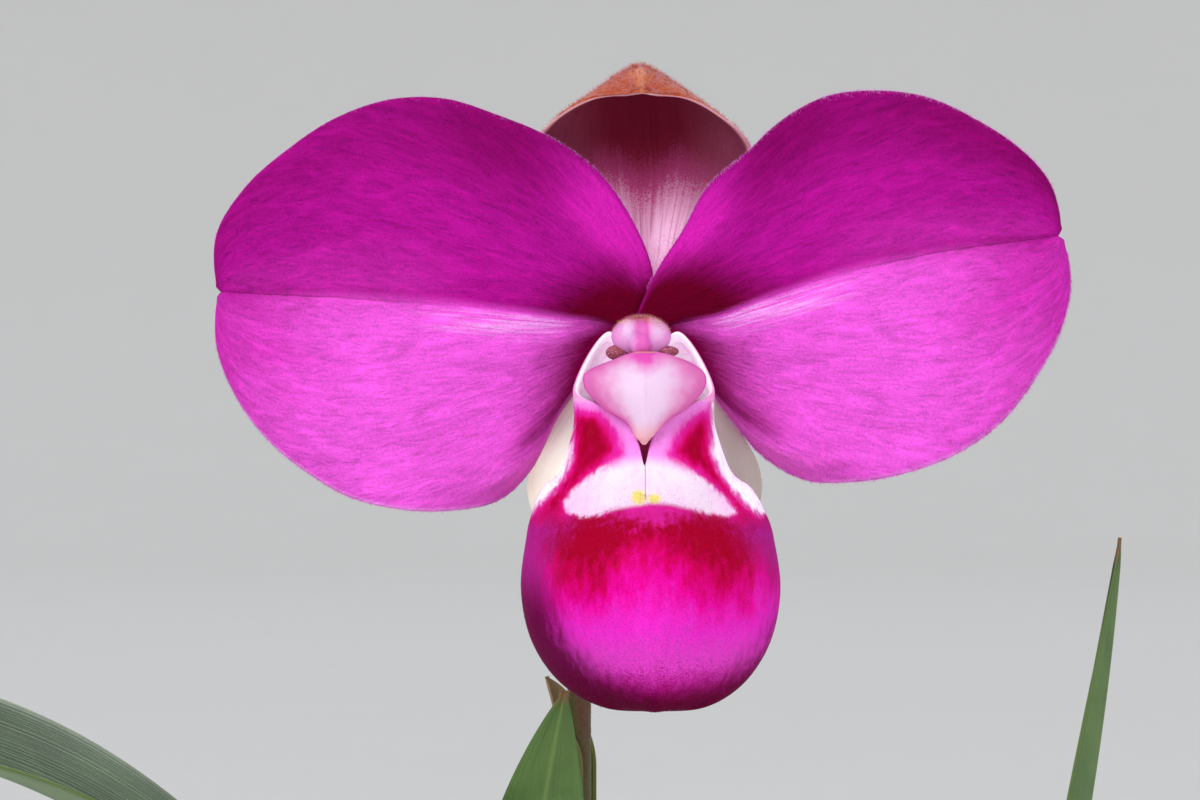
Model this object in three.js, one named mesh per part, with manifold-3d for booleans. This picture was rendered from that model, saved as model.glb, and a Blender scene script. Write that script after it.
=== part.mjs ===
// Potted slipper orchid with one open flower. Millimetres, +Z up, the flower faces -Y.
// The origin is the centre of the pot's underside.
import * as THREE from "three";
import { mergeVertices } from "three/addons/utils/BufferGeometryUtils.js";
import Module from "manifold-3d";

const wasm = await Module();
wasm.setup();

// Pot and potting mix
const POT_HEIGHT = 116;
const POT_BASE_R = 43;
const POT_BODY_R = 58;
const POT_RIM_R = 66;
const POT_RIM_BAND = 25;
const POT_WALL = 5;
const POT_FLOOR = 6;
const POT_SIDES = 40;
const DRAIN_R = 5;
const DRAIN_RING_R = 24;
const DRAIN_COUNT = 4;
const MIX_TOP = 104;
const MIX_GAP = 0.4;
const CHIP_COUNT = 46;

// Fans of leaves: centre in the pot, and the height at which their bases stand
const FAN_ANGLE = 35 * Math.PI / 180;
const MAIN_FAN = [-14, 4];
const YOUNG_FAN = [38, -9];
const BASE_Z = 92;
const LEAF_THICKNESS = 1.15;
const HOLE_GAP = 0.45;
const LEAF_RISE = 62;

// Flower stem and flower
const FLOWER = [-2, -46, 400];
const STEM_R = 2.6;
const STEM_TOP = [-14, 0, 372];
const SEPAL_THICKNESS = 1.2;
const PETAL_THICKNESS = 1.2;
const LIP_WALL = 1.0;
const BRACT_THICKNESS = 0.7;
const STAMINODE_THICKNESS = 1.2;

// Each leaf: side of the fan, keel distance, half gap between the folded halves, sheath
// length, whole length, half width, lean where it leaves the fan and at the tip (degrees),
// turn of its direction and twist of its blade (degrees)
const LEAVES = [
  { fan: MAIN_FAN, side: 1, keel: 21.0, gap: 12.6, sheath: 34, length: 276, half: 18.5,
    lean: 30, end: 112, turn: 14, twist: 0 },
  { fan: MAIN_FAN, side: -1, keel: 19.4, gap: 11.0, sheath: 44, length: 262, half: 19.0,
    lean: 28, end: 110, turn: -18, twist: 6 },
  { fan: MAIN_FAN, side: 1, keel: 17.8, gap: 9.4, sheath: 55, length: 296, half: 19.5,
    lean: 24, end: 104, turn: -4, twist: -6 },
  { fan: MAIN_FAN, side: -1, keel: 16.2, gap: 7.8, sheath: 66, length: 372, half: 20.5,
    lean: 15, end: 112, turn: 6, twist: -24 },
  { fan: MAIN_FAN, side: 1, keel: 14.6, gap: 6.2, sheath: 76, length: 208, half: 17.0,
    lean: 10, end: 38, turn: 10, twist: 6 },
  { fan: MAIN_FAN, side: -1, keel: 13.0, gap: 4.6, sheath: 84, length: 240, half: 14.5,
    lean: 5, end: 12, turn: 130, twist: -70 },
  { fan: YOUNG_FAN, side: -1, keel: 12.6, gap: 7.8, sheath: 26, length: 176, half: 15.0,
    lean: 26, end: 86, turn: 0, twist: 0 },
  { fan: YOUNG_FAN, side: 1, keel: 11.2, gap: 6.1, sheath: 34, length: 274, half: 14.0,
    lean: 25, end: 5, turn: -6, twist: -36 },
  { fan: YOUNG_FAN, side: -1, keel: 8.6, gap: 4.4, sheath: 42, length: 150, half: 11.0,
    lean: 18, end: 34, turn: 0, twist: 0 },
];

// Sheaths on the stem: height of the base, direction round the stem (degrees), length,
// half width, lean where each leaves the stem and at its tip (degrees)
const BRACTS = [
  { name: "lower_sheath", z: 205, way: 60, length: 46, half: 6.6, lean: 8, end: 22 },
  { name: "upper_sheath", z: 292, way: 160, length: 40, half: 6.2, lean: 8, end: 20 },
  { name: "floral_bract", z: 350, way: 268, length: 38, half: 7.0, lean: 26, end: 46 },
];

// Curves in the flower's own frame: x, y, z from its centre, from the base to the tip
const LEFT_PETAL = {
  upper: [[0.4, 3.3, 1.4], [1.3, 3.2, 9.2], [-2.9, 1.6, 19.2], [-8.9, -0.6, 27.1], [-17.1, -1.6, 32.8],
    [-26.4, -2.4, 36.7], [-36.0, -2.0, 39.6], [-46.0, -2.8, 39.4], [-55.5, -2.2, 36.2],
    [-63.9, -1.6, 30.7], [-71.7, 0.4, 24.2], [-77.3, 2.6, 15.8], [-77.7, 4.4, 6.1]],
  mid: [[-2.7, 3.1, -1.7], [-4.8, 3.1, -1.1], [-8.9, 3.0, -0.1], [-14.9, 2.9, 0.4], [-22.2, 2.6, 1.3],
    [-30.6, 2.2, 2.2], [-39.4, 1.8, 3.0], [-48.3, 1.8, 3.6], [-56.8, 2.0, 4.2], [-64.2, 2.6, 4.5],
    [-70.2, 3.4, 4.8], [-74.5, 4.2, 5.1], [-76.8, 4.6, 5.2]],
  lower: [[-3.8, 3.1, -4.6], [-10.9, 3.2, -10.5], [-16.2, 3.6, -18.0], [-20.2, 3.0, -26.4],
    [-26.4, 0.4, -32.5], [-35.3, -1.4, -34.3], [-44.4, -2.2, -33.9], [-53.3, -2.6, -31.7],
    [-61.2, -2.0, -27.0], [-68.3, -1.0, -21.0], [-73.8, 0.6, -13.6], [-77.3, 2.8, -5.0],
    [-77.5, 4.4, 4.3]],
};
const RIGHT_PETAL = {
  upper: [[-1.6, 1.5, 0.8], [2.0, 0.9, 8.6], [6.9, -0.4, 16.2], [11.2, -1.8, 23.9], [18.0, -2.4, 29.8],
    [24.6, -3.4, 35.8], [32.6, -3.0, 40.0], [41.5, -3.6, 41.0], [50.4, -2.8, 39.9], [58.7, -2.2, 36.3],
    [66.6, 0.0, 31.5], [73.0, 2.2, 25.0], [75.6, 4.0, 16.6]],
  mid: [[1.3, 1.6, -1.8], [3.5, 1.6, -1.1], [7.6, 1.6, -0.2], [13.6, 1.6, 0.9], [20.6, 1.5, 3.5],
    [28.7, 1.2, 6.2], [37.3, 1.0, 8.9], [46.2, 1.2, 10.9], [54.6, 1.6, 12.6], [62.1, 2.2, 13.6],
    [68.2, 3.0, 14.4], [72.6, 3.8, 15.0], [74.9, 4.2, 15.3]],
  lower: [[2.4, 1.6, -4.7], [9.9, 1.8, -10.1], [15.5, 2.4, -17.5], [21.5, 2.6, -24.6], [29.3, 0.2, -28.9],
    [38.4, -2.0, -29.0], [47.3, -3.0, -27.3], [55.9, -3.4, -24.0], [63.5, -2.6, -18.7],
    [69.4, -1.6, -11.6], [74.1, 0.2, -3.5], [76.8, 2.4, 5.5], [76.0, 4.0, 14.6]],
};
const DORSAL_SEPAL = {
  mid: [[0, 4.9, 0.6], [0, 7.0, 9.0], [0, 9.4, 19.0], [0, 10.4, 29.0], [-0.3, 8.6, 37.5],
    [-0.6, 5.6, 42.4], [-0.9, 1.2, 45.4], [-0.8, -3.4, 44.0], [-0.6, -6.4, 40.2]],
  side: [[4.0, 4.9, 1.6], [9.0, 6.4, 7.0], [14.0, 6.6, 14.5], [18.4, 5.4, 22.5], [20.0, 2.6, 29.0],
    [18.6, 0.2, 33.0], [14.6, -2.2, 36.5], [8.6, -4.6, 39.4], [1.2, -6.4, 40.1]],
};
const SYNSEPAL = {
  mid: [[0, 4.9, -0.9], [0, 6.8, -7.0], [0, 8.6, -14.0], [0, 9.6, -21.0], [0, 10.0, -28.0],
    [0, 9.6, -34.5], [0, 8.4, -40.5], [0, 6.6, -45.5], [0, 5.0, -49.0]],
  side: [[4.0, 4.9, -1.6], [8.5, 5.6, -7.4], [13.0, 6.4, -13.8], [17.6, 6.4, -20.4], [20.9, 5.8, -27.0],
    [20.9, 5.4, -33.0], [17.8, 5.2, -39.0], [11.4, 5.2, -44.8], [1.2, 4.8, -49.0]],
};
const STAMINODE = {
  mid: [[-0.1, -13.7, -6.0], [-0.1, -15.0, -7.2], [-0.1, -16.4, -8.6], [-0.1, -17.6, -10.4],
    [-0.1, -18.4, -12.8], [-0.1, -18.7, -15.6], [-0.2, -18.7, -18.0], [-0.3, -18.5, -20.4],
    [-0.4, -18.2, -22.2]],
  left: [[-1.9, -13.3, -6.0], [-6.2, -13.7, -7.6], [-9.6, -14.1, -9.0], [-11.0, -14.5, -10.4],
    [-10.3, -15.2, -13.0], [-7.0, -16.2, -16.2], [-3.6, -17.1, -18.2], [-2.1, -17.8, -20.6],
    [-1.4, -18.2, -22.1]],
  right: [[1.7, -13.3, -6.0], [6.1, -13.7, -7.2], [9.3, -14.1, -8.8], [10.5, -14.5, -10.6],
    [9.8, -15.2, -13.0], [7.0, -16.2, -15.8], [4.0, -17.1, -17.8], [1.4, -17.8, -20.3],
    [0.6, -18.2, -22.1]],
};

// Lip: one line of points from the mouth's edge down to the bottom, every 30 degrees from
// the front to the back; the other half mirrors it about the middle given for each row
const LIP_LINES = [
  [[0, -18.5, -26.1], [0, -19.3, -28.3], [0, -20.3, -30.8], [0, -22.5, -32.4], [0, -26.0, -33.7],
    [0, -31.0, -37.4], [0, -35.0, -44.1], [0, -34.5, -53.4], [0, -29.0, -62.4], [0, -22.0, -67.5]],
  [[1.2, -17.0, -22.3], [2.7, -18.5, -25.7], [3.8, -19.8, -29.0], [4.9, -22.0, -32.6],
    [5.3, -25.0, -34.1], [6.4, -29.5, -38.0], [7.3, -33.0, -44.7], [6.7, -32.0, -53.9],
    [5.1, -27.0, -62.3], [2.6, -20.5, -67.4]],
  [[3.3, -15.0, -18.6], [6.8, -15.5, -23.2], [9.4, -17.0, -28.0], [11.1, -19.5, -34.6],
    [12.2, -21.5, -35.9], [14.4, -24.5, -39.4], [15.6, -26.5, -45.7], [14.4, -25.5, -54.4],
    [11.0, -22.0, -62.5], [5.9, -18.0, -67.4]],
  [[8.8, -11.5, -15.5], [11.9, -10.5, -20.1], [14.8, -11.0, -27.5], [18.0, -12.5, -30.6],
    [19.8, -13.5, -34.5], [21.0, -14.5, -38.6], [22.1, -15.0, -47.6], [20.3, -15.0, -56.5],
    [15.6, -15.0, -63.6], [8.6, -15.5, -67.7]],
  [[12.6, -6.0, -12.5], [12.4, -3.5, -18.9], [13.5, -2.5, -26.1], [15.8, -2.0, -30.2],
    [17.3, -2.0, -34.1], [18.2, -2.0, -39.2], [18.6, -2.5, -47.6], [17.3, -4.5, -57.3],
    [12.7, -8.0, -64.5], [7.4, -12.5, -68.0]],
  [[6.8, -2.9, -2.6], [9.2, -1.4, -12.4], [9.6, 1.8, -23.4], [10.1, 2.6, -28.9], [10.6, 3.0, -33.4],
    [10.4, 3.0, -39.7], [9.9, 2.0, -48.7], [8.8, -1.0, -57.5], [6.1, -6.0, -64.3], [3.5, -11.5, -67.7]],
  [[0, -1.4, -7.4], [0, -0.6, -13.0], [0, 2.4, -21.6], [0, 3.6, -28.0], [0, 4.2, -32.5],
    [0, 4.2, -39.8], [0, 3.0, -48.8], [0, 0.0, -57.6], [0, -5.0, -64.4], [0, -11.0, -67.9]],
];
const LIP_MIDDLE = [-0.3, -0.2, 0.0, 0.2, 0.5, 0.7, 0.8, 0.9, 1.1, 1.4];
const LIP_POLE = [1.3, -16.0, -68.9];

// Numbers and vectors
const lerp = (a, b, k) => a + (b - a) * k;
const clamp01 = (k) => Math.min(1, Math.max(0, k));
const smooth = (k) => {
  const c = clamp01(k);
  return c * c * (3 - 2 * c);
};
const vec = (a) => new THREE.Vector3(a[0], a[1], a[2]);

function seeded(seed) {
  let state = seed;
  return () => {
    state = (state * 1664525 + 1013904223) % 4294967296;
    return state / 4294967296;
  };
}

// Smooth curve through equally spaced rows of numbers, for u from 0 to 1
function curve(rows, u) {
  const last = rows.length - 1;
  const at = Math.min(last - 1e-9, Math.max(0, u * last));
  const i = Math.floor(at);
  const k = at - i;
  const b = rows[i];
  const c = rows[i + 1];
  const a = i > 0 ? rows[i - 1] : b.map((v, n) => 2 * v - c[n]);
  const d = i < last - 1 ? rows[i + 2] : c.map((v, n) => 2 * v - b[n]);
  return b.map((v, n) => 0.5 * (2 * v + (c[n] - a[n]) * k
    + (2 * a[n] - 5 * v + 4 * c[n] - d[n]) * k * k
    + (3 * v - a[n] - 3 * c[n] + d[n]) * k * k * k));
}

// Closed geometry from points and triangles, turned outward
function closed(points, triangles) {
  let volume = 0;
  for (const [a, b, c] of triangles) {
    const [p, q, r] = [points[a], points[b], points[c]];
    volume += p.dot(new THREE.Vector3().crossVectors(q, r));
  }
  const order = volume > 0 ? triangles : triangles.map(([a, b, c]) => [a, c, b]);
  const geometry = new THREE.BufferGeometry();
  const corners = points.flatMap((p) => [p.x, p.y, p.z]);
  geometry.setAttribute("position", new THREE.Float32BufferAttribute(corners, 3));
  geometry.setIndex(order.flat());
  return geometry;
}

// A blade of even thickness about a surface point(u, v), u and v from 0 to 1
function sheet(point, us, vs, thickness) {
  const rows = us.length;
  const cols = vs.length;
  const grid = us.map((u) => vs.map((v) => vec(point(u, v))));
  const front = [];
  const back = [];
  for (let i = 0; i < rows; i++) {
    for (let j = 0; j < cols; j++) {
      const du = grid[Math.min(i + 1, rows - 1)][j].clone().sub(grid[Math.max(i - 1, 0)][j]);
      const dv = grid[i][Math.min(j + 1, cols - 1)].clone().sub(grid[i][Math.max(j - 1, 0)]);
      const n = du.cross(dv).normalize().multiplyScalar(thickness / 2);
      front.push(grid[i][j].clone().add(n));
      back.push(grid[i][j].clone().sub(n));
    }
  }
  const points = front.concat(back);
  const half = front.length;
  const at = (i, j) => i * cols + j;
  const triangles = [];
  const quad = (a, b, c, d) => triangles.push([a, b, c], [a, c, d]);
  for (let i = 0; i < rows - 1; i++) {
    for (let j = 0; j < cols - 1; j++) {
      const [a, b, c, d] = [at(i, j), at(i + 1, j), at(i + 1, j + 1), at(i, j + 1)];
      quad(a, b, c, d);
      triangles.push([half + a, half + c, half + b], [half + a, half + d, half + c]);
    }
  }
  const rim = [];
  for (let j = 0; j < cols - 1; j++) rim.push([at(0, j), at(0, j + 1)]);
  for (let i = 0; i < rows - 1; i++) rim.push([at(i, cols - 1), at(i + 1, cols - 1)]);
  for (let j = cols - 1; j > 0; j--) rim.push([at(rows - 1, j), at(rows - 1, j - 1)]);
  for (let i = rows - 1; i > 0; i--) rim.push([at(i, 0), at(i - 1, 0)]);
  for (const [a, b] of rim) quad(a, b, half + b, half + a);
  return closed(points, triangles);
}

// A solid through rings of points, closed by a fan at each end
function loft(rings) {
  const sides = rings[0].length;
  const points = rings.flat().map(vec);
  const triangles = [];
  for (let i = 0; i < rings.length - 1; i++) {
    for (let j = 0; j < sides; j++) {
      const k = (j + 1) % sides;
      const [a, b, c, d] = [i * sides + j, i * sides + k, (i + 1) * sides + k, (i + 1) * sides + j];
      triangles.push([a, b, c], [a, c, d]);
    }
  }
  for (const end of [0, rings.length - 1]) {
    const middle = new THREE.Vector3();
    for (let j = 0; j < sides; j++) middle.addScaledVector(points[end * sides + j], 1 / sides);
    const hub = points.push(middle) - 1;
    for (let j = 0; j < sides; j++) {
      const [a, b] = [end * sides + j, end * sides + (j + 1) % sides];
      triangles.push(end === 0 ? [hub, b, a] : [hub, a, b]);
    }
  }
  return closed(points, triangles);
}

// Joining and cutting
function solid(geometry) {
  const bare = geometry.clone();
  bare.deleteAttribute("normal");
  bare.deleteAttribute("uv");
  const merged = mergeVertices(bare, 1e-4);
  return new wasm.Manifold(new wasm.Mesh({
    numProp: 3,
    vertProperties: new Float32Array(merged.attributes.position.array),
    triVerts: new Uint32Array(merged.index.array),
  }));
}

function geometryOf(manifold) {
  const mesh = manifold.getMesh();
  const geometry = new THREE.BufferGeometry();
  geometry.setAttribute("position", new THREE.Float32BufferAttribute(mesh.vertProperties, 3));
  geometry.setIndex(Array.from(mesh.triVerts));
  return geometry;
}

const group = new THREE.Group();
function add(name, geometry, color, roughness = 0.6) {
  geometry.computeVertexNormals();
  const material = new THREE.MeshStandardMaterial({ color, roughness, metalness: 0 });
  material.name = name;
  const mesh = new THREE.Mesh(geometry, material);
  mesh.name = name;
  group.add(mesh);
}

const steps = (count) => Array.from({ length: count + 1 }, (_, i) => i / count);

// Pot: plain walls with a rim band, and drainage holes round a solid middle
function pot() {
  const profile = [
    [0, 0], [POT_BASE_R - 1, 0], [POT_BASE_R, 1], [POT_BODY_R, POT_HEIGHT - POT_RIM_BAND],
    [POT_RIM_R - 2, POT_HEIGHT - POT_RIM_BAND], [POT_RIM_R, POT_HEIGHT - 1.5], [POT_RIM_R - 1.5, POT_HEIGHT],
    [POT_RIM_R - POT_WALL + 1, POT_HEIGHT], [POT_RIM_R - POT_WALL, POT_HEIGHT - 1.5],
    [POT_BASE_R - POT_WALL + 1, POT_FLOOR], [0, POT_FLOOR],
  ].map(([r, z]) => new THREE.Vector2(r, z));
  const body = new THREE.LatheGeometry(profile, POT_SIDES).rotateX(Math.PI / 2);
  let whole = solid(turned(body));
  for (let i = 0; i < DRAIN_COUNT; i++) {
    const a = (i + 0.5) * 2 * Math.PI / DRAIN_COUNT;
    const drain = new THREE.CylinderGeometry(DRAIN_R, DRAIN_R, 3 * POT_FLOOR, 12).rotateX(Math.PI / 2)
      .translate(DRAIN_RING_R * Math.cos(a), DRAIN_RING_R * Math.sin(a), POT_FLOOR / 2);
    whole = whole.subtract(solid(turned(drain)));
  }
  add("pot", geometryOf(whole), 0xb5623c, 0.85);
}

// The same geometry with its triangles facing outward
function turned(geometry) {
  const bare = geometry.clone();
  bare.deleteAttribute("normal");
  bare.deleteAttribute("uv");
  const merged = mergeVertices(bare, 1e-4);
  const array = merged.attributes.position.array;
  const points = [];
  for (let i = 0; i < array.length; i += 3) {
    points.push(new THREE.Vector3(array[i], array[i + 1], array[i + 2]));
  }
  const triangles = [];
  const index = merged.index.array;
  for (let i = 0; i < index.length; i += 3) {
    const t = [index[i], index[i + 1], index[i + 2]];
    if (new Set(t).size === 3) triangles.push(t);
  }
  return closed(points, triangles);
}

// Inner radius of the pot at height z
function cavity(z) {
  const low = POT_BASE_R - POT_WALL + 1;
  const high = POT_RIM_R - POT_WALL;
  return lerp(low, high, (z - POT_FLOOR) / (POT_HEIGHT - 1.5 - POT_FLOOR));
}

function cone(z0, z1, gap) {
  const ring = (z) => Array.from({ length: POT_SIDES }, (_, i) => {
    const a = 2 * Math.PI * i / POT_SIDES;
    return [(cavity(z) - gap) * Math.cos(a), (cavity(z) - gap) * Math.sin(a), z];
  });
  return loft([ring(z0), ring(z1)]);
}

// Potting mix: a plug that fills the pot, bark chips grown into its top, plain holes for the fans
function pottingMix() {
  const random = seeded(7);
  let mix = solid(cone(POT_FLOOR + MIX_GAP, MIX_TOP, MIX_GAP));
  const room = solid(cone(MIX_TOP - 12, MIX_TOP + 8, MIX_GAP));
  for (let i = 0; i < CHIP_COUNT; i++) {
    const r = 54 * Math.sqrt((i + 0.5) / CHIP_COUNT);
    const a = i * 2.39996;
    const chip = new THREE.BoxGeometry(8 + 8 * random(), 6 + 6 * random(), 4 + 4 * random());
    const p = chip.attributes.position;
    for (let v = 0; v < p.count; v++) {
      const k = 1 - 0.16 * Math.abs(Math.sin(12.9 * Math.sign(p.getX(v)) + 4.1 * Math.sign(p.getY(v))
        + 7.7 * Math.sign(p.getZ(v)) + i));
      p.setXYZ(v, p.getX(v) * k, p.getY(v) * k, p.getZ(v));
    }
    chip.rotateX(0.5 * (random() - 0.5)).rotateY(0.6 * (random() - 0.5)).rotateZ(2 * Math.PI * random());
    chip.translate(r * Math.cos(a), r * Math.sin(a), MIX_TOP + 0.4 + 1.6 * random());
    mix = mix.add(solid(turned(chip)).intersect(room));
  }
  for (const fan of [MAIN_FAN, YOUNG_FAN]) mix = mix.subtract(solid(fanHole(fan)));
  add("potting_mix", geometryOf(mix), 0x5b3d27, 0.95);
}

// Fan of leaves. Across a leaf, a is the distance from the keel and c, n its reach and spread
function fold(leaf, a, open) {
  const closedN = leaf.gap * (1 - Math.exp(-a / leaf.round));
  const angle = lerp(40, 68, open) * Math.PI / 180;
  const c = lerp(a, a * Math.cos(angle), open);
  const n = lerp(closedN, a * Math.sin(angle), open);
  return [c, n];
}

// Place along the keel: point, direction, inward normal and sideways direction
function keelLine(leaf, count) {
  const out = [];
  const base = Math.atan2(leaf.dir[1], leaf.dir[0]);
  const at = new THREE.Vector3(leaf.start[0], leaf.start[1], leaf.start[2]);
  const ds = leaf.length / count;
  for (let i = 0; i <= count; i++) {
    const s = i * ds;
    const k = clamp01((s - leaf.sheath) / (leaf.length - leaf.sheath));
    const opening = leaf.lean * smooth((s - leaf.sheath) / leaf.rise);
    const lean = (opening + (leaf.end - leaf.lean) * Math.pow(k, 1.5)) * Math.PI / 180;
    const way = base + leaf.turn * smooth(k) * Math.PI / 180;
    const out0 = new THREE.Vector3(Math.cos(way), Math.sin(way), 0);
    const up = new THREE.Vector3(0, 0, 1);
    const t = up.clone().multiplyScalar(Math.cos(lean)).addScaledVector(out0, Math.sin(lean));
    const n = out0.clone().multiplyScalar(-Math.cos(lean)).addScaledVector(up, Math.sin(lean));
    const twist = leaf.twist * smooth(k / 0.6) * Math.PI / 180;
    n.applyAxisAngle(t, twist);
    const b = new THREE.Vector3().crossVectors(t, n);
    out.push({ s, k, p: at.clone(), t, n, b });
    at.addScaledVector(t, ds);
  }
  return out;
}

function leafPoint(leaf, line, u, v) {
  const at = Math.min(line.length - 1.000001, u * (line.length - 1));
  const i = Math.floor(at);
  const f = at - i;
  const [p, q] = [line[i], line[i + 1]];
  const k = lerp(p.k, q.k, f);
  const above = lerp(p.s, q.s, f) - leaf.sheath;
  const middle = p.p.clone().lerp(q.p, f);
  const n = p.n.clone().lerp(q.n, f).normalize();
  const b = p.b.clone().lerp(q.b, f).normalize();
  const open = smooth(above / leaf.rise);
  const sheathHalf = leaf.sheathHalf;
  const taper = k < 0.6 ? 1 : Math.pow(Math.max(0, 1 - Math.pow((k - 0.6) / 0.4, 1.7)), 0.85);
  const half = Math.max(lerp(sheathHalf, leaf.half, smooth(above / leaf.rise)) * taper, 1.0);
  const side = 2 * v - 1;
  const wave = leaf.wave * Math.sin(9 * k + 2.2 * side + leaf.keel) * Math.pow(Math.abs(side), 2) * open;
  const [c, spread] = fold(leaf, Math.abs(side) * half, open);
  return middle.addScaledVector(n, c + wave).addScaledVector(b, spread * Math.sign(side)).toArray();
}

const FAN_DIR = [Math.cos(FAN_ANGLE), Math.sin(FAN_ANGLE)];

function fanHole(fan) {
  const own = LEAVES.filter((leaf) => leaf.fan === fan);
  const left = Math.max(...own.filter((leaf) => leaf.side < 0).map((leaf) => leaf.keel));
  const right = Math.max(...own.filter((leaf) => leaf.side > 0).map((leaf) => leaf.keel));
  const gap = Math.max(...own.map((leaf) => leaf.gap));
  const room = LEAF_THICKNESS / 2 + HOLE_GAP;
  const reach = [0.15, 0.7, 1.6, 3.2, 6.5, 10.5];
  const outline = [];
  for (const a of reach) outline.push([-left - room + a, gap * (1 - Math.exp(-a / 3)) + room]);
  for (const a of reach.slice().reverse()) {
    outline.push([right + room - a, gap * (1 - Math.exp(-a / 3)) + room]);
  }
  const all = outline.concat(outline.slice().reverse().map(([e, n]) => [e, -n]));
  const ring = (z) => all.map(([e, n]) => [
    fan[0] + e * FAN_DIR[0] - n * FAN_DIR[1], fan[1] + e * FAN_DIR[1] + n * FAN_DIR[0], z]);
  return loft([ring(BASE_Z - MIX_GAP), ring(MIX_TOP + 20)]);
}

function leaves() {
  const across = [0, 0.22, 0.4, 0.5, 0.6, 0.78, 1];
  LEAVES.forEach((leaf, i) => {
    leaf.dir = FAN_DIR.map((d) => d * leaf.side);
    leaf.start = [leaf.fan[0] + leaf.dir[0] * leaf.keel, leaf.fan[1] + leaf.dir[1] * leaf.keel, BASE_Z];
    leaf.sheathHalf = leaf.keel + 1;
    leaf.round = 3;
    leaf.rise = LEAF_RISE;
    leaf.wave = 0.7;
    const line = keelLine(leaf, 80);
    const geometry = sheet((u, v) => leafPoint(leaf, line, u, v), steps(20), across, LEAF_THICKNESS);
    add(`leaf_${i + 1}`, geometry, 0x2f5a1e, 0.5);
  });
}

// Flower stem, a gently bent tapering rod
const STEM_LINE = [[MAIN_FAN[0], MAIN_FAN[1], BASE_Z], [-14.1, 3.9, 162], [-14.8, 3.0, 232],
  [-14.2, 1.4, 302], STEM_TOP];
function stem() {
  const rings = steps(14).map((u) => {
    const [x, y, z] = curve(STEM_LINE, u);
    const r = lerp(STEM_R, STEM_R - 0.4, u);
    return Array.from({ length: 12 }, (_, j) => {
      const a = 2 * Math.PI * j / 12;
      return [x + r * Math.cos(a), y + r * Math.sin(a), z];
    });
  });
  add("flower_stem", loft(rings), 0x4c4a22, 0.7);
}

// Sheaths and bract, folded blades that clasp the stem
function bracts() {
  const across = [0, 0.2, 0.38, 0.5, 0.62, 0.8, 1];
  for (const bract of BRACTS) {
    const way = bract.way * Math.PI / 180;
    const u = (bract.z - BASE_Z) / (STEM_TOP[2] - BASE_Z);
    const [x, y] = curve(STEM_LINE, u);
    const leaf = {
      dir: [Math.cos(way), Math.sin(way)],
      keel: 3.9,
      gap: 3.8,
      round: 1.0,
      rise: bract.length * 0.3,
      sheath: bract.length * 0.55,
      length: bract.length,
      half: bract.half,
      sheathHalf: bract.half,
      lean: bract.lean,
      end: bract.end,
      turn: 0,
      twist: 0,
      wave: 0,
    };
    leaf.start = [x + leaf.dir[0] * leaf.keel, y + leaf.dir[1] * leaf.keel, bract.z];
    const line = keelLine(leaf, 40);
    const geometry = sheet((a, b) => leafPoint(leaf, line, a, b), steps(9), across, BRACT_THICKNESS);
    add(bract.name, geometry, 0x55622a, 0.65);
  }
}

// Ovary: a ribbed stalk that arches from the stem's top to the back of the flower
const OVARY_LINE = [[-14, 0.2, 372.5], [-14, -2.5, 384], [-12.6, -10, 395], [-9.4, -20, 401.5],
  [-5.4, -30.5, 401.6],
  [FLOWER[0], FLOWER[1] + 6.6, FLOWER[2] - 0.4]];
const OVARY_R = [[2.1], [2.1], [2.6], [3.3], [3.5], [2.0]];
function ovary() {
  const rings = steps(13).map((u) => {
    const p = vec(curve(OVARY_LINE, u));
    const q = vec(curve(OVARY_LINE, Math.min(1, u + 0.01)));
    const o = vec(curve(OVARY_LINE, Math.max(0, u - 0.01)));
    const t = q.sub(o).normalize();
    const side = new THREE.Vector3(1, 0, 0).addScaledVector(t, -t.x).normalize();
    const up = new THREE.Vector3().crossVectors(side, t);
    const r = curve(OVARY_R, u)[0];
    return Array.from({ length: 18 }, (_, j) => {
      const a = 2 * Math.PI * j / 18;
      const rib = r * (1 + 0.09 * Math.cos(6 * a));
      const out = p.clone().addScaledVector(side, rib * Math.cos(a));
      return out.addScaledVector(up, rib * Math.sin(a)).toArray();
    });
  });
  add("ovary", loft(rings), 0x6a5a2c, 0.75);
}

// Blade between a middle line and two margins, in the flower's frame. The powers say how
// each of x, y and z runs from the middle to the margin, and bulge pushes it along y
function blade(lines, u, v, power, bulge) {
  const side = 2 * v - 1;
  const a = Math.abs(side);
  const m = curve(lines.mid, u);
  const e = curve(side < 0 ? lines.left : lines.right, u);
  const out = m.map((value, n) => value + (e[n] - value) * Math.pow(a, power[n]));
  out[1] += bulge * 4 * a * (1 - a) * Math.pow(Math.sin(Math.PI * clamp01(u)), 0.7);
  return out.map((value, n) => value + FLOWER[n]);
}

function mirrored(shape) {
  const left = shape.side.map(([x, y, z], i) => [shape.mid[i][0] - x, y, z]);
  const right = shape.side.map(([x, y, z], i) => [shape.mid[i][0] + x, y, z]);
  return { mid: shape.mid, left, right };
}

function petals() {
  const across = [0, 0.12, 0.26, 0.4, 0.5, 0.6, 0.74, 0.88, 1];
  const sets = [["petal_left", LEFT_PETAL], ["petal_right", RIGHT_PETAL]];
  for (const [name, shape] of sets) {
    const lines = { mid: shape.mid, left: shape.lower, right: shape.upper };
    const place = (u, v) => blade(lines, u, v, [1, 0.95, 1], -2.6);
    const geometry = sheet(place, steps(24), across, PETAL_THICKNESS);
    add(name, geometry, 0xd02fb4, 0.6);
  }
}

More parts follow.
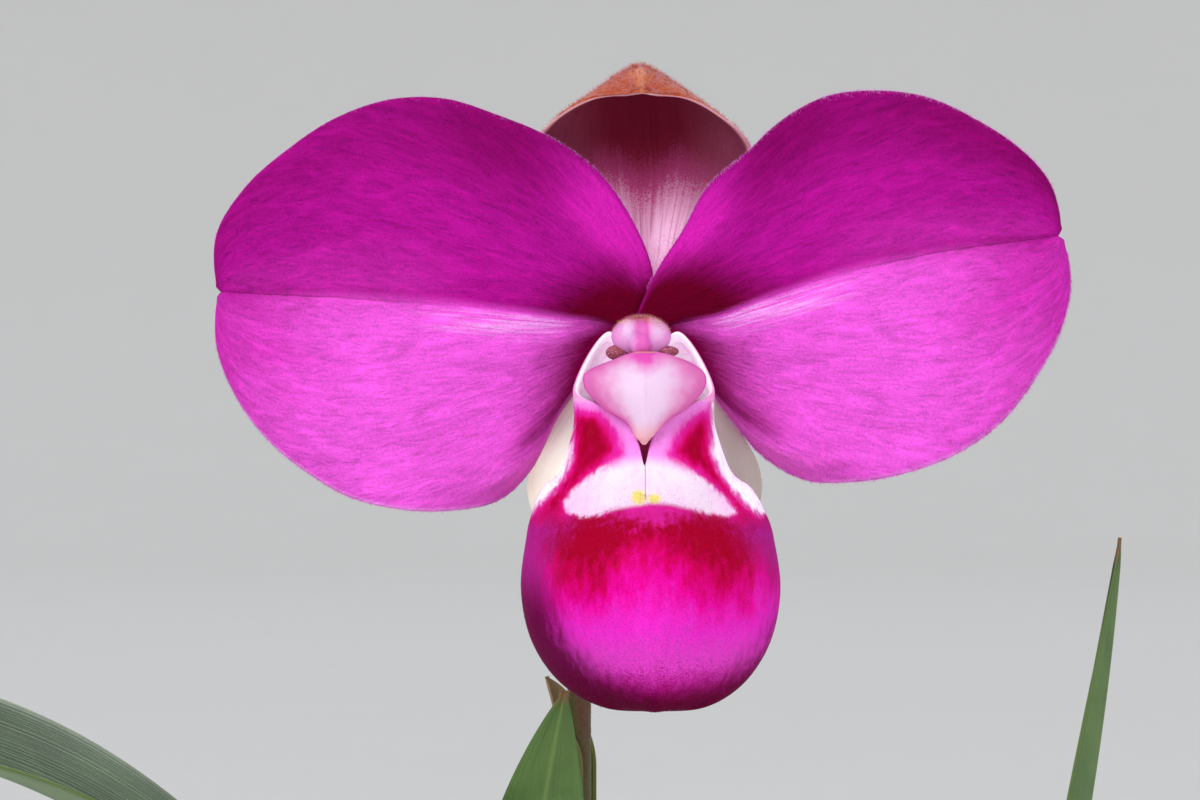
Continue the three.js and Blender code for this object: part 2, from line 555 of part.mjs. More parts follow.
function sepals() {
  const across = [0, 0.16, 0.32, 0.5, 0.68, 0.84, 1];
  const dorsal = mirrored(DORSAL_SEPAL);
  const hood = (u, v) => blade(dorsal, u, v, [1, 1.5, 1.1], 0);
  add("dorsal_sepal", sheet(hood, steps(16), across, SEPAL_THICKNESS),
    0xb06a78, 0.7);
  const lower = mirrored(SYNSEPAL);
  add("synsepal", sheet((u, v) => blade(lower, u, v, [1, 1.8, 1.5], 0), steps(12), across, SEPAL_THICKNESS),
    0xe6dccb, 0.7);
}

// Lip: a thin-walled pouch hung from the edge of its mouth
function lipPoint(turn, down) {
  const lines = LIP_LINES.length - 1;
  const wrap = (i) => {
    const k = ((i % (2 * lines)) + 2 * lines) % (2 * lines);
    const mirror = k > lines;
    const line = curve(LIP_LINES[mirror ? 2 * lines - k : k], down);
    const middle = curve(LIP_MIDDLE.map((m) => [m]), down)[0];
    return [middle + (mirror ? -line[0] : line[0]), line[1], line[2]];
  };
  const at = turn * 2 * lines;
  const i = Math.floor(at);
  const k = at - i;
  const [a, b, c, d] = [wrap(i - 1), wrap(i), wrap(i + 1), wrap(i + 2)];
  return b.map((v, n) => 0.5 * (2 * v + (c[n] - a[n]) * k
    + (2 * a[n] - 5 * v + 4 * c[n] - d[n]) * k * k
    + (3 * v - a[n] - 3 * c[n] + d[n]) * k * k * k) + FLOWER[n]);
}

function lip() {
  const sides = 28;
  const rows = 16;
  const grid = steps(rows).map((v) => Array.from({ length: sides }, (_, j) => vec(lipPoint(j / sides, v))));
  const pole = vec(LIP_POLE).add(vec(FLOWER));
  const inner = [];
  const outer = [];
  for (let i = 0; i <= rows; i++) {
    for (let j = 0; j < sides; j++) {
      const down = (i < rows ? grid[i + 1][j] : pole).clone().sub(grid[Math.max(i - 1, 0)][j]);
      const round = grid[i][(j + 1) % sides].clone().sub(grid[i][(j + sides - 1) % sides]);
      const n = down.cross(round).normalize();
      inner.push(grid[i][j]);
      outer.push(grid[i][j].clone().addScaledVector(n, LIP_WALL));
    }
  }
  const half = inner.length;
  const points = inner.concat(outer);
  const triangles = [];
  for (let i = 0; i < rows; i++) {
    for (let j = 0; j < sides; j++) {
      const k = (j + 1) % sides;
      const [a, b, c, d] = [i * sides + j, (i + 1) * sides + j, (i + 1) * sides + k, i * sides + k];
      triangles.push([a, b, c], [a, c, d], [half + a, half + c, half + b], [half + a, half + d, half + c]);
    }
  }
  const innerPole = points.push(pole) - 1;
  const outerPole = points.push(pole.clone().sub(new THREE.Vector3(0, 0, LIP_WALL))) - 1;
  for (let j = 0; j < sides; j++) {
    const k = (j + 1) % sides;
    const low = rows * sides;
    triangles.push([low + j, innerPole, low + k], [half + low + j, half + low + k, outerPole]);
    triangles.push([j, k, half + k], [j, half + k, half + j]);
  }
  add("lip", closed(points, triangles), 0xc81c86, 0.5);
}

// Column: a short body notched between two round shoulders, an anther at each side and the stigma below
function column() {
  const sections = [
    { y: 0.5, rx: 2.4, rz: 2.0, z: -2.4 },
    { y: -1.5, rx: 3.0, rz: 2.5, z: -2.6 },
    { y: -5.0, rx: 3.4, rz: 2.7, z: -3.0 },
    { y: -9.0, rx: 3.0, rz: 2.7, z: -3.4 },
    { y: -11.8, rx: 2.0, rz: 2.2, z: -4.3 },
    { y: -13.0, rx: 1.3, rz: 1.4, z: -5.0 },
  ];
  const x = -1.0;
  const rings = sections.map((s) => Array.from({ length: 20 }, (_, j) => {
    const a = 2 * Math.PI * j / 20;
    const notch = 1 - 0.2 * Math.exp(-Math.pow((a - Math.PI / 2) / 0.38, 2));
    const height = s.z + s.rz * notch * Math.sin(a);
    return [FLOWER[0] + x + s.rx * notch * Math.cos(a), FLOWER[1] + s.y, FLOWER[2] + height];
  }));
  let body = solid(loft(rings));
  const lobes = [
    [-3.7, -9.8, -2.9, 2.3], [2.1, -9.8, -2.9, 2.1],
    [-4.4, -8.4, -5.4, 1.7], [2.4, -8.4, -5.4, 1.7], [-1.0, -8.8, -7.4, 3.0],
  ];
  for (const [lx, ly, lz, r] of lobes) {
    const lobe = new THREE.IcosahedronGeometry(r, 1);
    lobe.translate(FLOWER[0] + lx, FLOWER[1] + ly, FLOWER[2] + lz);
    body = body.add(solid(turned(lobe)));
  }
  add("column", geometryOf(body), 0xe7a6cf, 0.5);
}

function staminode() {
  const across = [0, 0.16, 0.33, 0.5, 0.67, 0.84, 1];
  const shield = (u, v) => blade(STAMINODE, u, v, [1, 1.9, 1], 0);
  add("staminode", sheet(shield, steps(12), across, STAMINODE_THICKNESS), 0xf6dcec, 0.5);
}

pot();
pottingMix();
leaves();
stem();
bracts();
ovary();
sepals();
petals();
lip();
column();
staminode();

export default group;
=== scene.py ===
"""A potted slipper orchid with one open flower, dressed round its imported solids."""

import math

import bmesh
import bpy
import numpy as np
from bpy.props import FloatProperty, FloatVectorProperty, IntProperty, PointerProperty
from mathutils import Euler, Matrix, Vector


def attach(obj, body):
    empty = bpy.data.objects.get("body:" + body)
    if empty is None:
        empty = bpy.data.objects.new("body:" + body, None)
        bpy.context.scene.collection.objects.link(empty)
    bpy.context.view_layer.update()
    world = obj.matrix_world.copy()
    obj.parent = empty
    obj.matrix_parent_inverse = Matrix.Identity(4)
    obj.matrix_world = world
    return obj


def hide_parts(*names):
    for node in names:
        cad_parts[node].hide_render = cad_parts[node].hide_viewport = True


bl_info = {
    "name": "Potted slipper orchid",
    "version": (1, 0, 0),
    "blender": (4, 5, 0),
    "location": "View3D > Sidebar > Orchid",
    "description": "Builds a potted slipper orchid piece by piece",
    "category": "Object",
}

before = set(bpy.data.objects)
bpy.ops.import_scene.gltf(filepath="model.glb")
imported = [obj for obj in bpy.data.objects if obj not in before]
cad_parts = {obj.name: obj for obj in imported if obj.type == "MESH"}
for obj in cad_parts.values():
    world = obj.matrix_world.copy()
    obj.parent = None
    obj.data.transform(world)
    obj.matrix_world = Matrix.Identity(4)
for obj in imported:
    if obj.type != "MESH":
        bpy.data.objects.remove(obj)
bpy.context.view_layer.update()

MM = 0.001
FLOWER = np.array([-2.0, -46.0, 400.0])
VIEW = np.array([-10.1, -646.0, 385.6])

# Pot, and the fans of leaves that stand in it
POT_HEIGHT = 116.0
POT_BASE_R = 43.0
POT_BODY_R = 58.0
POT_RIM_R = 66.0
POT_RIM_BAND = 25.0
POT_WALL = 5.0
POT_FLOOR = 6.0
DRAIN_R = 5.0
DRAIN_RING_R = 24.0
MIX_TOP = 104.0
FAN_ANGLE = math.radians(35)
MAIN_FAN = (-14.0, 4.0)
YOUNG_FAN = (38.0, -9.0)
# Room that each fan takes up on the mix: half its length and half its width
FAN_ROOM = ((MAIN_FAN, 23.0, 13.5), (YOUNG_FAN, 14.5, 9.0))
CHIP_ROOM = 2.5
CHIP_REACH = 55.0
GOLDEN_SHARE = 0.618034
GOLDEN_ANGLE = 2.39996
BASE_Z = 92.0
LEAF_RISE = 62.0

# Each leaf: fan, side of the fan, keel distance, half gap between the folded halves, sheath
# length, whole length, half width, lean where it leaves the fan and at its tip, turn, twist
LEAVES = [
    (MAIN_FAN, 1, 21.0, 12.6, 34, 276, 18.5, 30, 112, 14, 0),
    (MAIN_FAN, -1, 19.4, 11.0, 44, 262, 19.0, 28, 110, -18, 6),
    (MAIN_FAN, 1, 17.8, 9.4, 55, 296, 19.5, 24, 104, -4, -6),
    (MAIN_FAN, -1, 16.2, 7.8, 66, 372, 20.5, 15, 112, 6, -24),
    (MAIN_FAN, 1, 14.6, 6.2, 76, 208, 17.0, 10, 38, 10, 6),
    (MAIN_FAN, -1, 13.0, 4.6, 84, 240, 14.5, 5, 12, 130, -70),
    (YOUNG_FAN, -1, 12.6, 7.8, 26, 176, 15.0, 26, 86, 0, 0),
    (YOUNG_FAN, 1, 11.2, 6.1, 34, 274, 14.0, 25, 5, -6, -36),
    (YOUNG_FAN, -1, 8.6, 4.4, 42, 150, 11.0, 18, 34, 0, 0),
]

# Sheaths on the stem: height of the base, direction round the stem, length, half width,
# lean where each leaves the stem and at its tip
BRACTS = [
    ("lower_sheath", 205, 60, 46, 6.6, 8, 22),
    ("upper_sheath", 292, 160, 40, 6.2, 8, 20),
    ("floral_bract", 350, 268, 38, 7.0, 26, 46),
]
SHEATH_KEEL = 3.9
SHEATH_GAP = 3.8
STEM_R = 2.6
STEM_TOP = 372.0
STEM_LINE = [[-14, 4, 92], [-14.1, 3.9, 162], [-14.8, 3.0, 232], [-14.2, 1.4, 302], [-14, 0, 372]]
OVARY_LINE = [[-14, 0.2, 372.5], [-14, -2.5, 384], [-12.6, -10, 395], [-9.4, -20, 401.5],
              [-5.4, -30.5, 401.6], [-2, -39.4, 399.6]]
OVARY_R = [[2.1], [2.1], [2.6], [3.3], [3.5], [2.0]]

# Curves in the flower's own frame: x, y, z from its centre, from the base to the tip
LEFT_PETAL = {
    "upper": [[0.4, 3.3, 1.4], [1.3, 3.2, 9.2], [-2.9, 1.6, 19.2], [-8.9, -0.6, 27.1], [-17.1, -1.6, 32.8],
              [-26.4, -2.4, 36.7], [-36.0, -2.0, 39.6], [-46.0, -2.8, 39.4], [-55.5, -2.2, 36.2],
              [-63.9, -1.6, 30.7], [-71.7, 0.4, 24.2], [-77.3, 2.6, 15.8], [-77.7, 4.4, 6.1]],
    "mid": [[-2.7, 3.1, -1.7], [-4.8, 3.1, -1.1], [-8.9, 3.0, -0.1], [-14.9, 2.9, 0.4], [-22.2, 2.6, 1.3],
            [-30.6, 2.2, 2.2], [-39.4, 1.8, 3.0], [-48.3, 1.8, 3.6], [-56.8, 2.0, 4.2], [-64.2, 2.6, 4.5],
            [-70.2, 3.4, 4.8], [-74.5, 4.2, 5.1], [-76.8, 4.6, 5.2]],
    "lower": [[-3.8, 3.1, -4.6], [-10.9, 3.2, -10.5], [-16.2, 3.6, -18.0], [-20.2, 3.0, -26.4],
              [-26.4, 0.4, -32.5], [-35.3, -1.4, -34.3], [-44.4, -2.2, -33.9], [-53.3, -2.6, -31.7],
              [-61.2, -2.0, -27.0], [-68.3, -1.0, -21.0], [-73.8, 0.6, -13.6], [-77.3, 2.8, -5.0],
              [-77.5, 4.4, 4.3]],
}
RIGHT_PETAL = {
    "upper": [[-1.6, 1.5, 0.8], [2.0, 0.9, 8.6], [6.9, -0.4, 16.2], [11.2, -1.8, 23.9], [18.0, -2.4, 29.8],
              [24.6, -3.4, 35.8], [32.6, -3.0, 40.0], [41.5, -3.6, 41.0], [50.4, -2.8, 39.9],
              [58.7, -2.2, 36.3], [66.6, 0.0, 31.5], [73.0, 2.2, 25.0], [75.6, 4.0, 16.6]],
    "mid": [[1.3, 1.6, -1.8], [3.5, 1.6, -1.1], [7.6, 1.6, -0.2], [13.6, 1.6, 0.9], [20.6, 1.5, 3.5],
            [28.7, 1.2, 6.2], [37.3, 1.0, 8.9], [46.2, 1.2, 10.9], [54.6, 1.6, 12.6], [62.1, 2.2, 13.6],
            [68.2, 3.0, 14.4], [72.6, 3.8, 15.0], [74.9, 4.2, 15.3]],
    "lower": [[2.4, 1.6, -4.7], [9.9, 1.8, -10.1], [15.5, 2.4, -17.5], [21.5, 2.6, -24.6],
              [29.3, 0.2, -28.9], [38.4, -2.0, -29.0], [47.3, -3.0, -27.3], [55.9, -3.4, -24.0],
              [63.5, -2.6, -18.7], [69.4, -1.6, -11.6], [74.1, 0.2, -3.5], [76.8, 2.4, 5.5],
              [76.0, 4.0, 14.6]],
}
DORSAL_SEPAL = {
    "mid": [[0, 4.9, 0.6], [0, 7.0, 9.0], [0, 9.4, 19.0], [0, 10.4, 29.0], [-0.3, 8.6, 37.5],
            [-0.6, 5.6, 42.4], [-0.9, 1.2, 45.4], [-0.8, -3.4, 44.0], [-0.6, -6.4, 40.2]],
    "side": [[4.0, 4.9, 1.6], [9.0, 6.4, 7.0], [14.0, 6.6, 14.5], [18.4, 5.4, 22.5], [20.0, 2.6, 29.0],
             [18.6, 0.2, 33.0], [14.6, -2.2, 36.5], [8.6, -4.6, 39.4], [1.2, -6.4, 40.1]],
}
SYNSEPAL = {
    "mid": [[0, 4.9, -0.9], [0, 6.8, -7.0], [0, 8.6, -14.0], [0, 9.6, -21.0], [0, 10.0, -28.0],
            [0, 9.6, -34.5], [0, 8.4, -40.5], [0, 6.6, -45.5], [0, 5.0, -49.0]],
    "side": [[4.0, 4.9, -1.6], [8.5, 5.6, -7.4], [13.0, 6.4, -13.8], [17.6, 6.4, -20.4], [20.9, 5.8, -27.0],
             [20.9, 5.4, -33.0], [17.8, 5.2, -39.0], [11.4, 5.2, -44.8], [1.2, 4.8, -49.0]],
}
STAMINODE = {
    "mid": [[-0.1, -13.7, -6.0], [-0.1, -15.0, -7.2], [-0.1, -16.4, -8.6], [-0.1, -17.6, -10.4],
            [-0.1, -18.4, -12.8], [-0.1, -18.7, -15.6], [-0.2, -18.7, -18.0], [-0.3, -18.5, -20.4],
            [-0.4, -18.2, -22.2]],
    "lower": [[-1.9, -13.3, -6.0], [-6.2, -13.7, -7.6], [-9.6, -14.1, -9.0], [-11.0, -14.5, -10.4],
              [-10.3, -15.2, -13.0], [-7.0, -16.2, -16.2], [-3.6, -17.1, -18.2], [-2.1, -17.8, -20.6],
              [-1.4, -18.2, -22.1]],
    "upper": [[1.7, -13.3, -6.0], [6.1, -13.7, -7.2], [9.3, -14.1, -8.8], [10.5, -14.5, -10.6],
              [9.8, -15.2, -13.0], [7.0, -16.2, -15.8], [4.0, -17.1, -17.8], [1.4, -17.8, -20.3],
              [0.6, -18.2, -22.1]],
}
# Column: y, half width, half height and height of its middle, from its base to its tip
COLUMN = [[0.5, 2.4, 2.0, -2.4], [-1.5, 3.0, 2.5, -2.6], [-5.0, 3.4, 2.7, -3.0], [-9.0, 3.0, 2.7, -3.4],
          [-11.8, 2.0, 2.2, -4.3], [-13.0, 1.3, 1.4, -5.0]]
# Lumps on the column: centre, radii, and 1 for pollen; the dome has a groove down its middle
DOME = ((-0.8, -9.6, -3.1), (5.3, 2.8, 3.6), 0)
LUMPS = (DOME, ((-4.9, -9.2, -6.0), (2.2, 1.8, 1.4), 1), ((3.7, -9.2, -5.8), (2.2, 1.8, 1.0), 1),
         ((-0.8, -8.8, -7.4), (2.4, 3.0, 2.4), 0))

# Ripples and sways of the blades: waves along, waves across, height
PETAL_RIPPLES = [(3.4, 9, 0.5), (-5.2, 12, 0.4), (4.6, 15, 0.3), (-2.1, 19, 0.3), (8.4, 20, 0.25),
                 (7, 5, 0.3)]
SEPAL_RIPPLES = [(0.8, 6, 0.5), (-1.2, 10, 0.4), (1.4, 14, 0.35), (0.6, 19, 0.3)]
SWAYS = [(3, 0, 0.6), (5, 1, 0.4)]

# Lip: one line of points from the mouth's edge down to the bottom, every 30 degrees from the
# front to the back; the other half mirrors it about the middle given for each row
LIP_LINES = [
    [[0, -18.5, -26.1], [0, -19.3, -28.3], [0, -20.3, -30.8], [0, -22.5, -32.4], [0, -26.0, -33.7],
     [0, -31.0, -37.4], [0, -35.0, -44.1], [0, -34.5, -53.4], [0, -29.0, -62.4], [0, -22.0, -67.5]],
    [[1.2, -17.0, -22.3], [2.7, -18.5, -25.7], [3.8, -19.8, -29.0], [4.9, -22.0, -32.6],
     [5.3, -25.0, -34.1], [6.4, -29.5, -38.0], [7.3, -33.0, -44.7], [6.7, -32.0, -53.9],
     [5.1, -27.0, -62.3], [2.6, -20.5, -67.4]],
    [[3.3, -15.0, -18.6], [6.8, -15.5, -23.2], [9.4, -17.0, -28.0], [11.1, -19.5, -34.6],
     [12.2, -21.5, -35.9], [14.4, -24.5, -39.4], [15.6, -26.5, -45.7], [14.4, -25.5, -54.4],
     [11.0, -22.0, -62.5], [5.9, -18.0, -67.4]],
    [[8.8, -11.5, -15.5], [11.9, -10.5, -20.1], [14.8, -11.0, -27.5], [18.0, -12.5, -30.6],
     [19.8, -13.5, -34.5], [21.0, -14.5, -38.6], [22.1, -15.0, -47.6], [20.3, -15.0, -56.5],
     [15.6, -15.0, -63.6], [8.6, -15.5, -67.7]],
    [[12.6, -6.0, -12.5], [12.4, -3.5, -18.9], [13.5, -2.5, -26.1], [15.8, -2.0, -30.2],
     [17.3, -2.0, -34.1], [18.2, -2.0, -39.2], [18.6, -2.5, -47.6], [17.3, -4.5, -57.3],
     [12.7, -8.0, -64.5], [7.4, -12.5, -68.0]],
    [[6.8, -2.9, -2.6], [9.2, -1.4, -12.4], [9.6, 1.8, -23.4], [10.1, 2.6, -28.9], [10.6, 3.0, -33.4],
     [10.4, 3.0, -39.7], [9.9, 2.0, -48.7], [8.8, -1.0, -57.5], [6.1, -6.0, -64.3], [3.5, -11.5, -67.7]],
    [[0, -1.4, -7.4], [0, -0.6, -13.0], [0, 2.4, -21.6], [0, 3.6, -28.0], [0, 4.2, -32.5],
     [0, 4.2, -39.8], [0, 3.0, -48.8], [0, 0.0, -57.6], [0, -5.0, -64.4], [0, -11.0, -67.9]],
]
LIP_MIDDLE = [-0.3, -0.2, 0.0, 0.2, 0.5, 0.7, 0.8, 0.9, 1.1, 1.4]
LIP_POLE = [1.3, -16.0, -68.4]
# Share of the lip's skin that rolls in at the mouth, and a point inside the pouch
LIP_EDGE = 0.05
LIP_CENTRE = [1.0, -14.0, -40.0]

# Outlines on the lip as they show from the front, in millimetres from the flower's centre
WHITE_PATCH = [(-14.5, -33.0), (-13.2, -31.0), (-10.2, -28.5), (-7.4, -26.4), (-4.4, -24.4), (0.0, -22.6),
               (3.6, -24.2), (7.2, -26.4), (10.6, -28.8), (13.4, -31.2), (16.5, -34.6), (14.4, -35.4),
               (11.6, -34.8), (7.6, -33.8), (4.4, -33.1), (1.2, -32.9), (-2.0, -33.4), (-5.4, -34.0),
               (-9.2, -35.3), (-12.0, -35.3), (-13.8, -34.6)]
WHITE_FADE = [(-20.0, -31.0), (-10.6, -28.0), (-7.2, -26.8), (-3.6, -25.8), (0.0, -25.2), (4.0, -25.8),
              (8.0, -27.2), (12.4, -29.6), (20.0, -32.0), (24.0, -44.0), (-24.0, -44.0)]
BLOTCH_LEFT = [(-13.0, -15.0), (-8.1, -17.1), (-5.6, -20.4), (-4.7, -23.9), (-7.2, -26.1), (-10.4, -28.4),
               (-13.0, -31.3), (-14.3, -33.3), (-13.9, -38.0), (-22.0, -38.0), (-18.9, -32.9),
               (-16.2, -30.2), (-14.4, -27.5), (-13.3, -24.8), (-13.5, -19.8)]
BLOTCH_RIGHT = [(11.4, -15.2), (9.0, -17.6), (6.4, -20.8), (5.0, -23.9), (6.3, -25.4), (9.9, -27.9),
                (13.1, -30.6), (15.3, -32.9), (16.2, -38.0), (23.0, -38.0), (20.3, -34.7), (17.6, -32.4),
                (15.3, -29.7), (13.5, -27.0), (12.2, -23.9), (12.2, -19.8)]
FLANK_LEFT = [(-13.3, -15.0), (-13.4, -20.0), (-13.3, -24.8), (-14.4, -27.5), (-16.2, -30.2), (-18.9, -32.9),
              (-21.6, -35.4), (-27.0, -34.0), (-23.0, -24.0), (-16.0, -14.0)]
FLANK_RIGHT = [(12.0, -15.0), (12.2, -20.0), (12.2, -23.9), (13.5, -27.0), (15.3, -29.7), (17.6, -32.4),
               (20.6, -35.0), (27.0, -34.0), (23.0, -24.0), (15.0, -14.0)]

# Hairs: how far their ways scatter, and the share of its length that a hair's middle stands off
HAIR_SCATTER = 0.28
HAIR_STAND = 0.42
# How deep light scatters inside a petal or leaf, in metres
SCATTER = 0.002
# Floor: radius of its flat part, radius of its bend and height of its wall, in metres
FLOOR_REACH = 7.0
FLOOR_BEND = 2.5
WALL_HEIGHT = 4.0


def ink(red, green, blue):
    """The linear colour of display values from 0 to 255."""
    shares = [value / 255 for value in (red, green, blue)]
    return tuple(s / 12.92 if s <= 0.04045 else ((s + 0.055) / 1.055) ** 2.4 for s in shares)


def colour(name, description, red, green, blue):
    """A colour setting with its default in display values."""
    return FloatVectorProperty(name=name, description=description, subtype="COLOR", size=3, min=0.0, max=1.0,
                               default=ink(red, green, blue))


def size(name, description, millimetres):
    """A length setting with its default in millimetres."""
    return FloatProperty(name=name, description=description, unit="LENGTH", min=0.0, precision=5,
                         default=millimetres * MM)


def amount(name, description, default, high):
    """A plain number setting."""
    return FloatProperty(name=name, description=description, subtype="FACTOR", min=0.0, max=high,
                         default=default)


def wattage(name, description, watts):
    """A lamp's power setting."""
    return FloatProperty(name=name, description=description, unit="POWER", default=watts)


def count(name, description, default):
    """A whole number setting."""
    return IntProperty(name=name, description=description, min=0, default=default)


class PetalSettings(bpy.types.PropertyGroup):
    """Sizes and colours of the two petals."""
    thickness: size("Thickness", "Thickness in the middle of a petal", 0.7)
    ripple: size("Ripple", "Height of the ripples along the veins", 0.1)
    crease: size("Crease", "Depth of the crease along the midrib", 1.0)
    hair_length: size("Hair length", "Length of the hairs on the margins", 0.75)
    hairs: count("Hairs", "Hairs on the margin of one petal", 6000)
    # Upper and lower halves: partly the petal's own colours, partly painted shade above the midrib and
    # painted light below it
    upper: colour("Upper half", "Colour above the midrib", 188, 20, 155)
    # Painted highlight on the inner shoulder
    inner: colour("Inner shoulder", "Brighter colour beside the upper sepal", 228, 36, 190)
    # Painted shade towards the upper margin
    shoulder: colour("Upper margin", "Colour towards the upper margin", 138, 5, 100)
    lower: colour("Lower half", "Colour below the midrib", 243, 93, 225)
    outer: colour("Outer part", "Colour of both halves towards the tip", 206, 46, 178)
    # Throat: partly the petal's own dark base, partly painted shade beside the column
    throat: colour("Throat", "Dark colour beside the column", 112, 0, 40)
    streak: colour("Streaks", "Pale streaks below the midrib", 253, 172, 248)
    # Painted shade beside the lip and at the fold of the turned margin
    band: colour("Lower throat", "Dark colour beside the lip", 116, 0, 60)
    strip: colour("Turned margin", "Lighter turned margin beside the lip", 222, 100, 196)
    back: colour("Back", "Colour of the back", 214, 92, 186)


class SepalSettings(bpy.types.PropertyGroup):
    """Sizes and colours of the sepals."""
    thickness: size("Thickness", "Thickness in the middle of a sepal", 0.8)
    hair_length: size("Hair length", "Length of the hairs on the outside", 0.8)
    hairs: count("Hairs", "Hairs on the outside of one sepal", 9000)
    # Maroon and wine: partly the sepal's own colour, partly painted shade under the hood
    maroon: colour("Maroon", "Inside of the upper sepal towards its top", 108, 18, 42)
    wine: colour("Wine", "Inside of the upper sepal half way up", 158, 58, 108)
    # Mauve: partly the sepal's own colour, partly a painted sheen
    mauve: colour("Mauve", "Inside of the upper sepal towards its sides", 150, 84, 112)
    blush: colour("Blush", "Inside of the upper sepal at its base", 244, 196, 228)
    rim: colour("Rim", "Margin of the upper sepal", 226, 164, 176)
    tan: colour("Tan", "Outside of the upper sepal", 196, 84, 44)
    # Painted highlight along the middle
    apricot: colour("Apricot", "Outside of the upper sepal along its middle", 240, 164, 110)
    cream: colour("Cream", "Inside of the lower sepal", 240, 242, 226)
    sage: colour("Sage", "Outside of the lower sepal", 176, 164, 128)


class LipSettings(bpy.types.PropertyGroup):
    """Sizes and colours of the lip."""
    wall: size("Wall", "Thickness of the pouch's wall", 0.4)
    roll: size("Roll", "Radius of the rolled edge of the mouth", 0.5)
    swell: size("Swell", "How far the pouch swells past its fold lines", 0.65)
    hairs: count("Hairs", "Hairs on the sides of the pouch", 5000)
    crimson: colour("Crimson", "Top of the pouch", 168, 0, 42)
    cerise: colour("Cerise", "Below the crimson", 212, 0, 94)
    rose: colour("Rose", "Middle of the pouch", 242, 8, 160)
    pink: colour("Pink", "Lower part of the pouch", 250, 46, 210)
    mallow: colour("Mallow", "Above the bottom of the pouch", 240, 70, 208)
    claret: colour("Claret", "Just above the bottom of the pouch", 196, 24, 146)
    # Plum, shade and maroon are partly the pouch's own colour, partly painted shade on its sides and bottom
    plum: colour("Plum", "Upper sides of the pouch", 176, 34, 142)
    shade: colour("Shade", "Lower sides of the pouch", 96, 0, 48)
    maroon: colour("Maroon", "Bottom of the pouch", 134, 0, 50)
    white: colour("White", "Patches in front of the mouth", 252, 230, 250)
    flank: colour("Flank", "Sides of the lip beside the blotches", 255, 238, 254)
    flush: colour("Flush", "Round the blotches", 236, 40, 170)
    fringe: colour("Fringe", "Feathered edge of the white patch", 224, 90, 178)
    lilac: colour("Lilac", "Folded edges of the mouth", 255, 146, 240)
    blotch: colour("Blotch", "Blotches beside the mouth", 160, 0, 42)
    yellow: colour("Yellow", "Spots at the end of the seam", 246, 232, 110)
    inside: colour("Inside", "Deep inside of the pouch", 206, 120, 166)
    # Partly painted shade of the pouch's depth
    gullet: colour("Gullet", "Inside of the pouch near its mouth", 214, 66, 124)
    # Brown of the hairs beside the column, deepened as painted shade of the recesses
    felt_and_shade: colour("Felt", "Hairy recesses beside the column", 150, 92, 92)


class CentreSettings(bpy.types.PropertyGroup):
    """Sizes and colours of the column and the staminode."""
    thickness: size("Thickness", "Thickness of the staminode", 1.1)
    pale: colour("Pale", "Middle of the staminode", 240, 206, 238)
    margin: colour("Margin", "Margins of the staminode", 222, 88, 176)
    tip: colour("Tip", "Tip of the staminode", 242, 176, 184)
    patch: colour("Patch", "Patch at the top of the staminode", 234, 56, 184)
    column: colour("Column", "Shoulders of the column", 240, 158, 226)
    stripe: colour("Stripe", "Stripe between the shoulders", 232, 70, 184)
    # Partly the pollen masses' own colour, partly painted shade of their recesses
    anther: colour("Anther", "Pollen masses at the sides", 156, 70, 74)
    gold: colour("Gold", "Fine hairs on the column", 226, 172, 110)
    hairs: count("Hairs", "Hairs on the shoulders of the column", 1400)


class StalkSettings(bpy.types.PropertyGroup):
    """Sizes and colours of the stem, its sheaths and the ovary."""
    hair_length: size("Hair length", "Length of the hairs on the stem", 0.55)
    hairs: count("Hairs", "Hairs on the stem and ovary", 12000)
    sheath_thickness: size("Sheath thickness", "Thickness of a sheath", 0.45)
    stem: colour("Stem", "Colour of the stem", 78, 84, 38)
    flush: colour("Flush", "Brown flush on the stem", 92, 56, 40)
    ovary: colour("Ovary", "Ribs of the ovary", 128, 112, 62)
    groove: colour("Groove", "Grooves of the ovary", 96, 58, 52)
    sheath: colour("Sheath", "Colour of the sheaths", 112, 122, 58)
    sheath_tip: colour("Sheath tip", "Drying tips of the sheaths", 150, 118, 74)


class LeafSettings(bpy.types.PropertyGroup):
    """Sizes and colours of the leaves."""
    thickness: size("Thickness", "Thickness of a leaf", 0.9)
    upper: colour("Upper side", "Colour of the upper side", 42, 82, 20)
    deep: colour("Deep", "Darker mottling of the upper side", 30, 66, 14)
    under: colour("Underside", "Colour of the underside", 88, 122, 56)
    rib: colour("Midrib", "Colour along the midrib", 120, 146, 66)
    base: colour("Base", "Colour of the sheathing base", 150, 160, 96)
    tan: colour("Tip", "Dry colour at the very tip", 132, 98, 56)


class PotSettings(bpy.types.PropertyGroup):
    """Sizes and colours of the pot and the potting mix."""
    bevel: size("Edge rounding", "Rounding of the pot's edges", 1.4)
    chips: count("Bark chips", "Loose chips of bark on top", 520)
    grains: count("Pumice grains", "Pale grains among the bark", 170)
    clay: colour("Clay", "Colour of the fired clay", 178, 98, 62)
    shade: colour("Clay shade", "Darker, damp clay", 146, 74, 46)
    bloom: colour("Bloom", "Chalky bloom on the clay", 214, 170, 142)
    bark: colour("Bark", "Lighter faces of the bark", 128, 82, 50)
    dark_bark: colour("Dark bark", "Darker faces of the bark", 62, 38, 26)
    pumice: colour("Pumice", "Colour of the grains", 214, 206, 190)


class StageSettings(bpy.types.PropertyGroup):
    """Floor, lights and camera."""
    floor: colour("Floor", "Colour of the floor", 226, 225, 223)
    sky: colour("Surroundings", "Colour of the soft light all round", 238, 240, 244)
    sky_strength: amount("Surroundings strength", "Strength of the light all round", 0.95, 4.0)
    key: wattage("Key light", "Power of the main soft light", 11.0)
    fill: wattage("Fill light", "Power of the fill light", 3.5)
    back: wattage("Back light", "Power of the light from behind", 5.0)
    lens: FloatProperty(name="Lens", description="Focal length of the camera", unit="CAMERA", default=100.0)


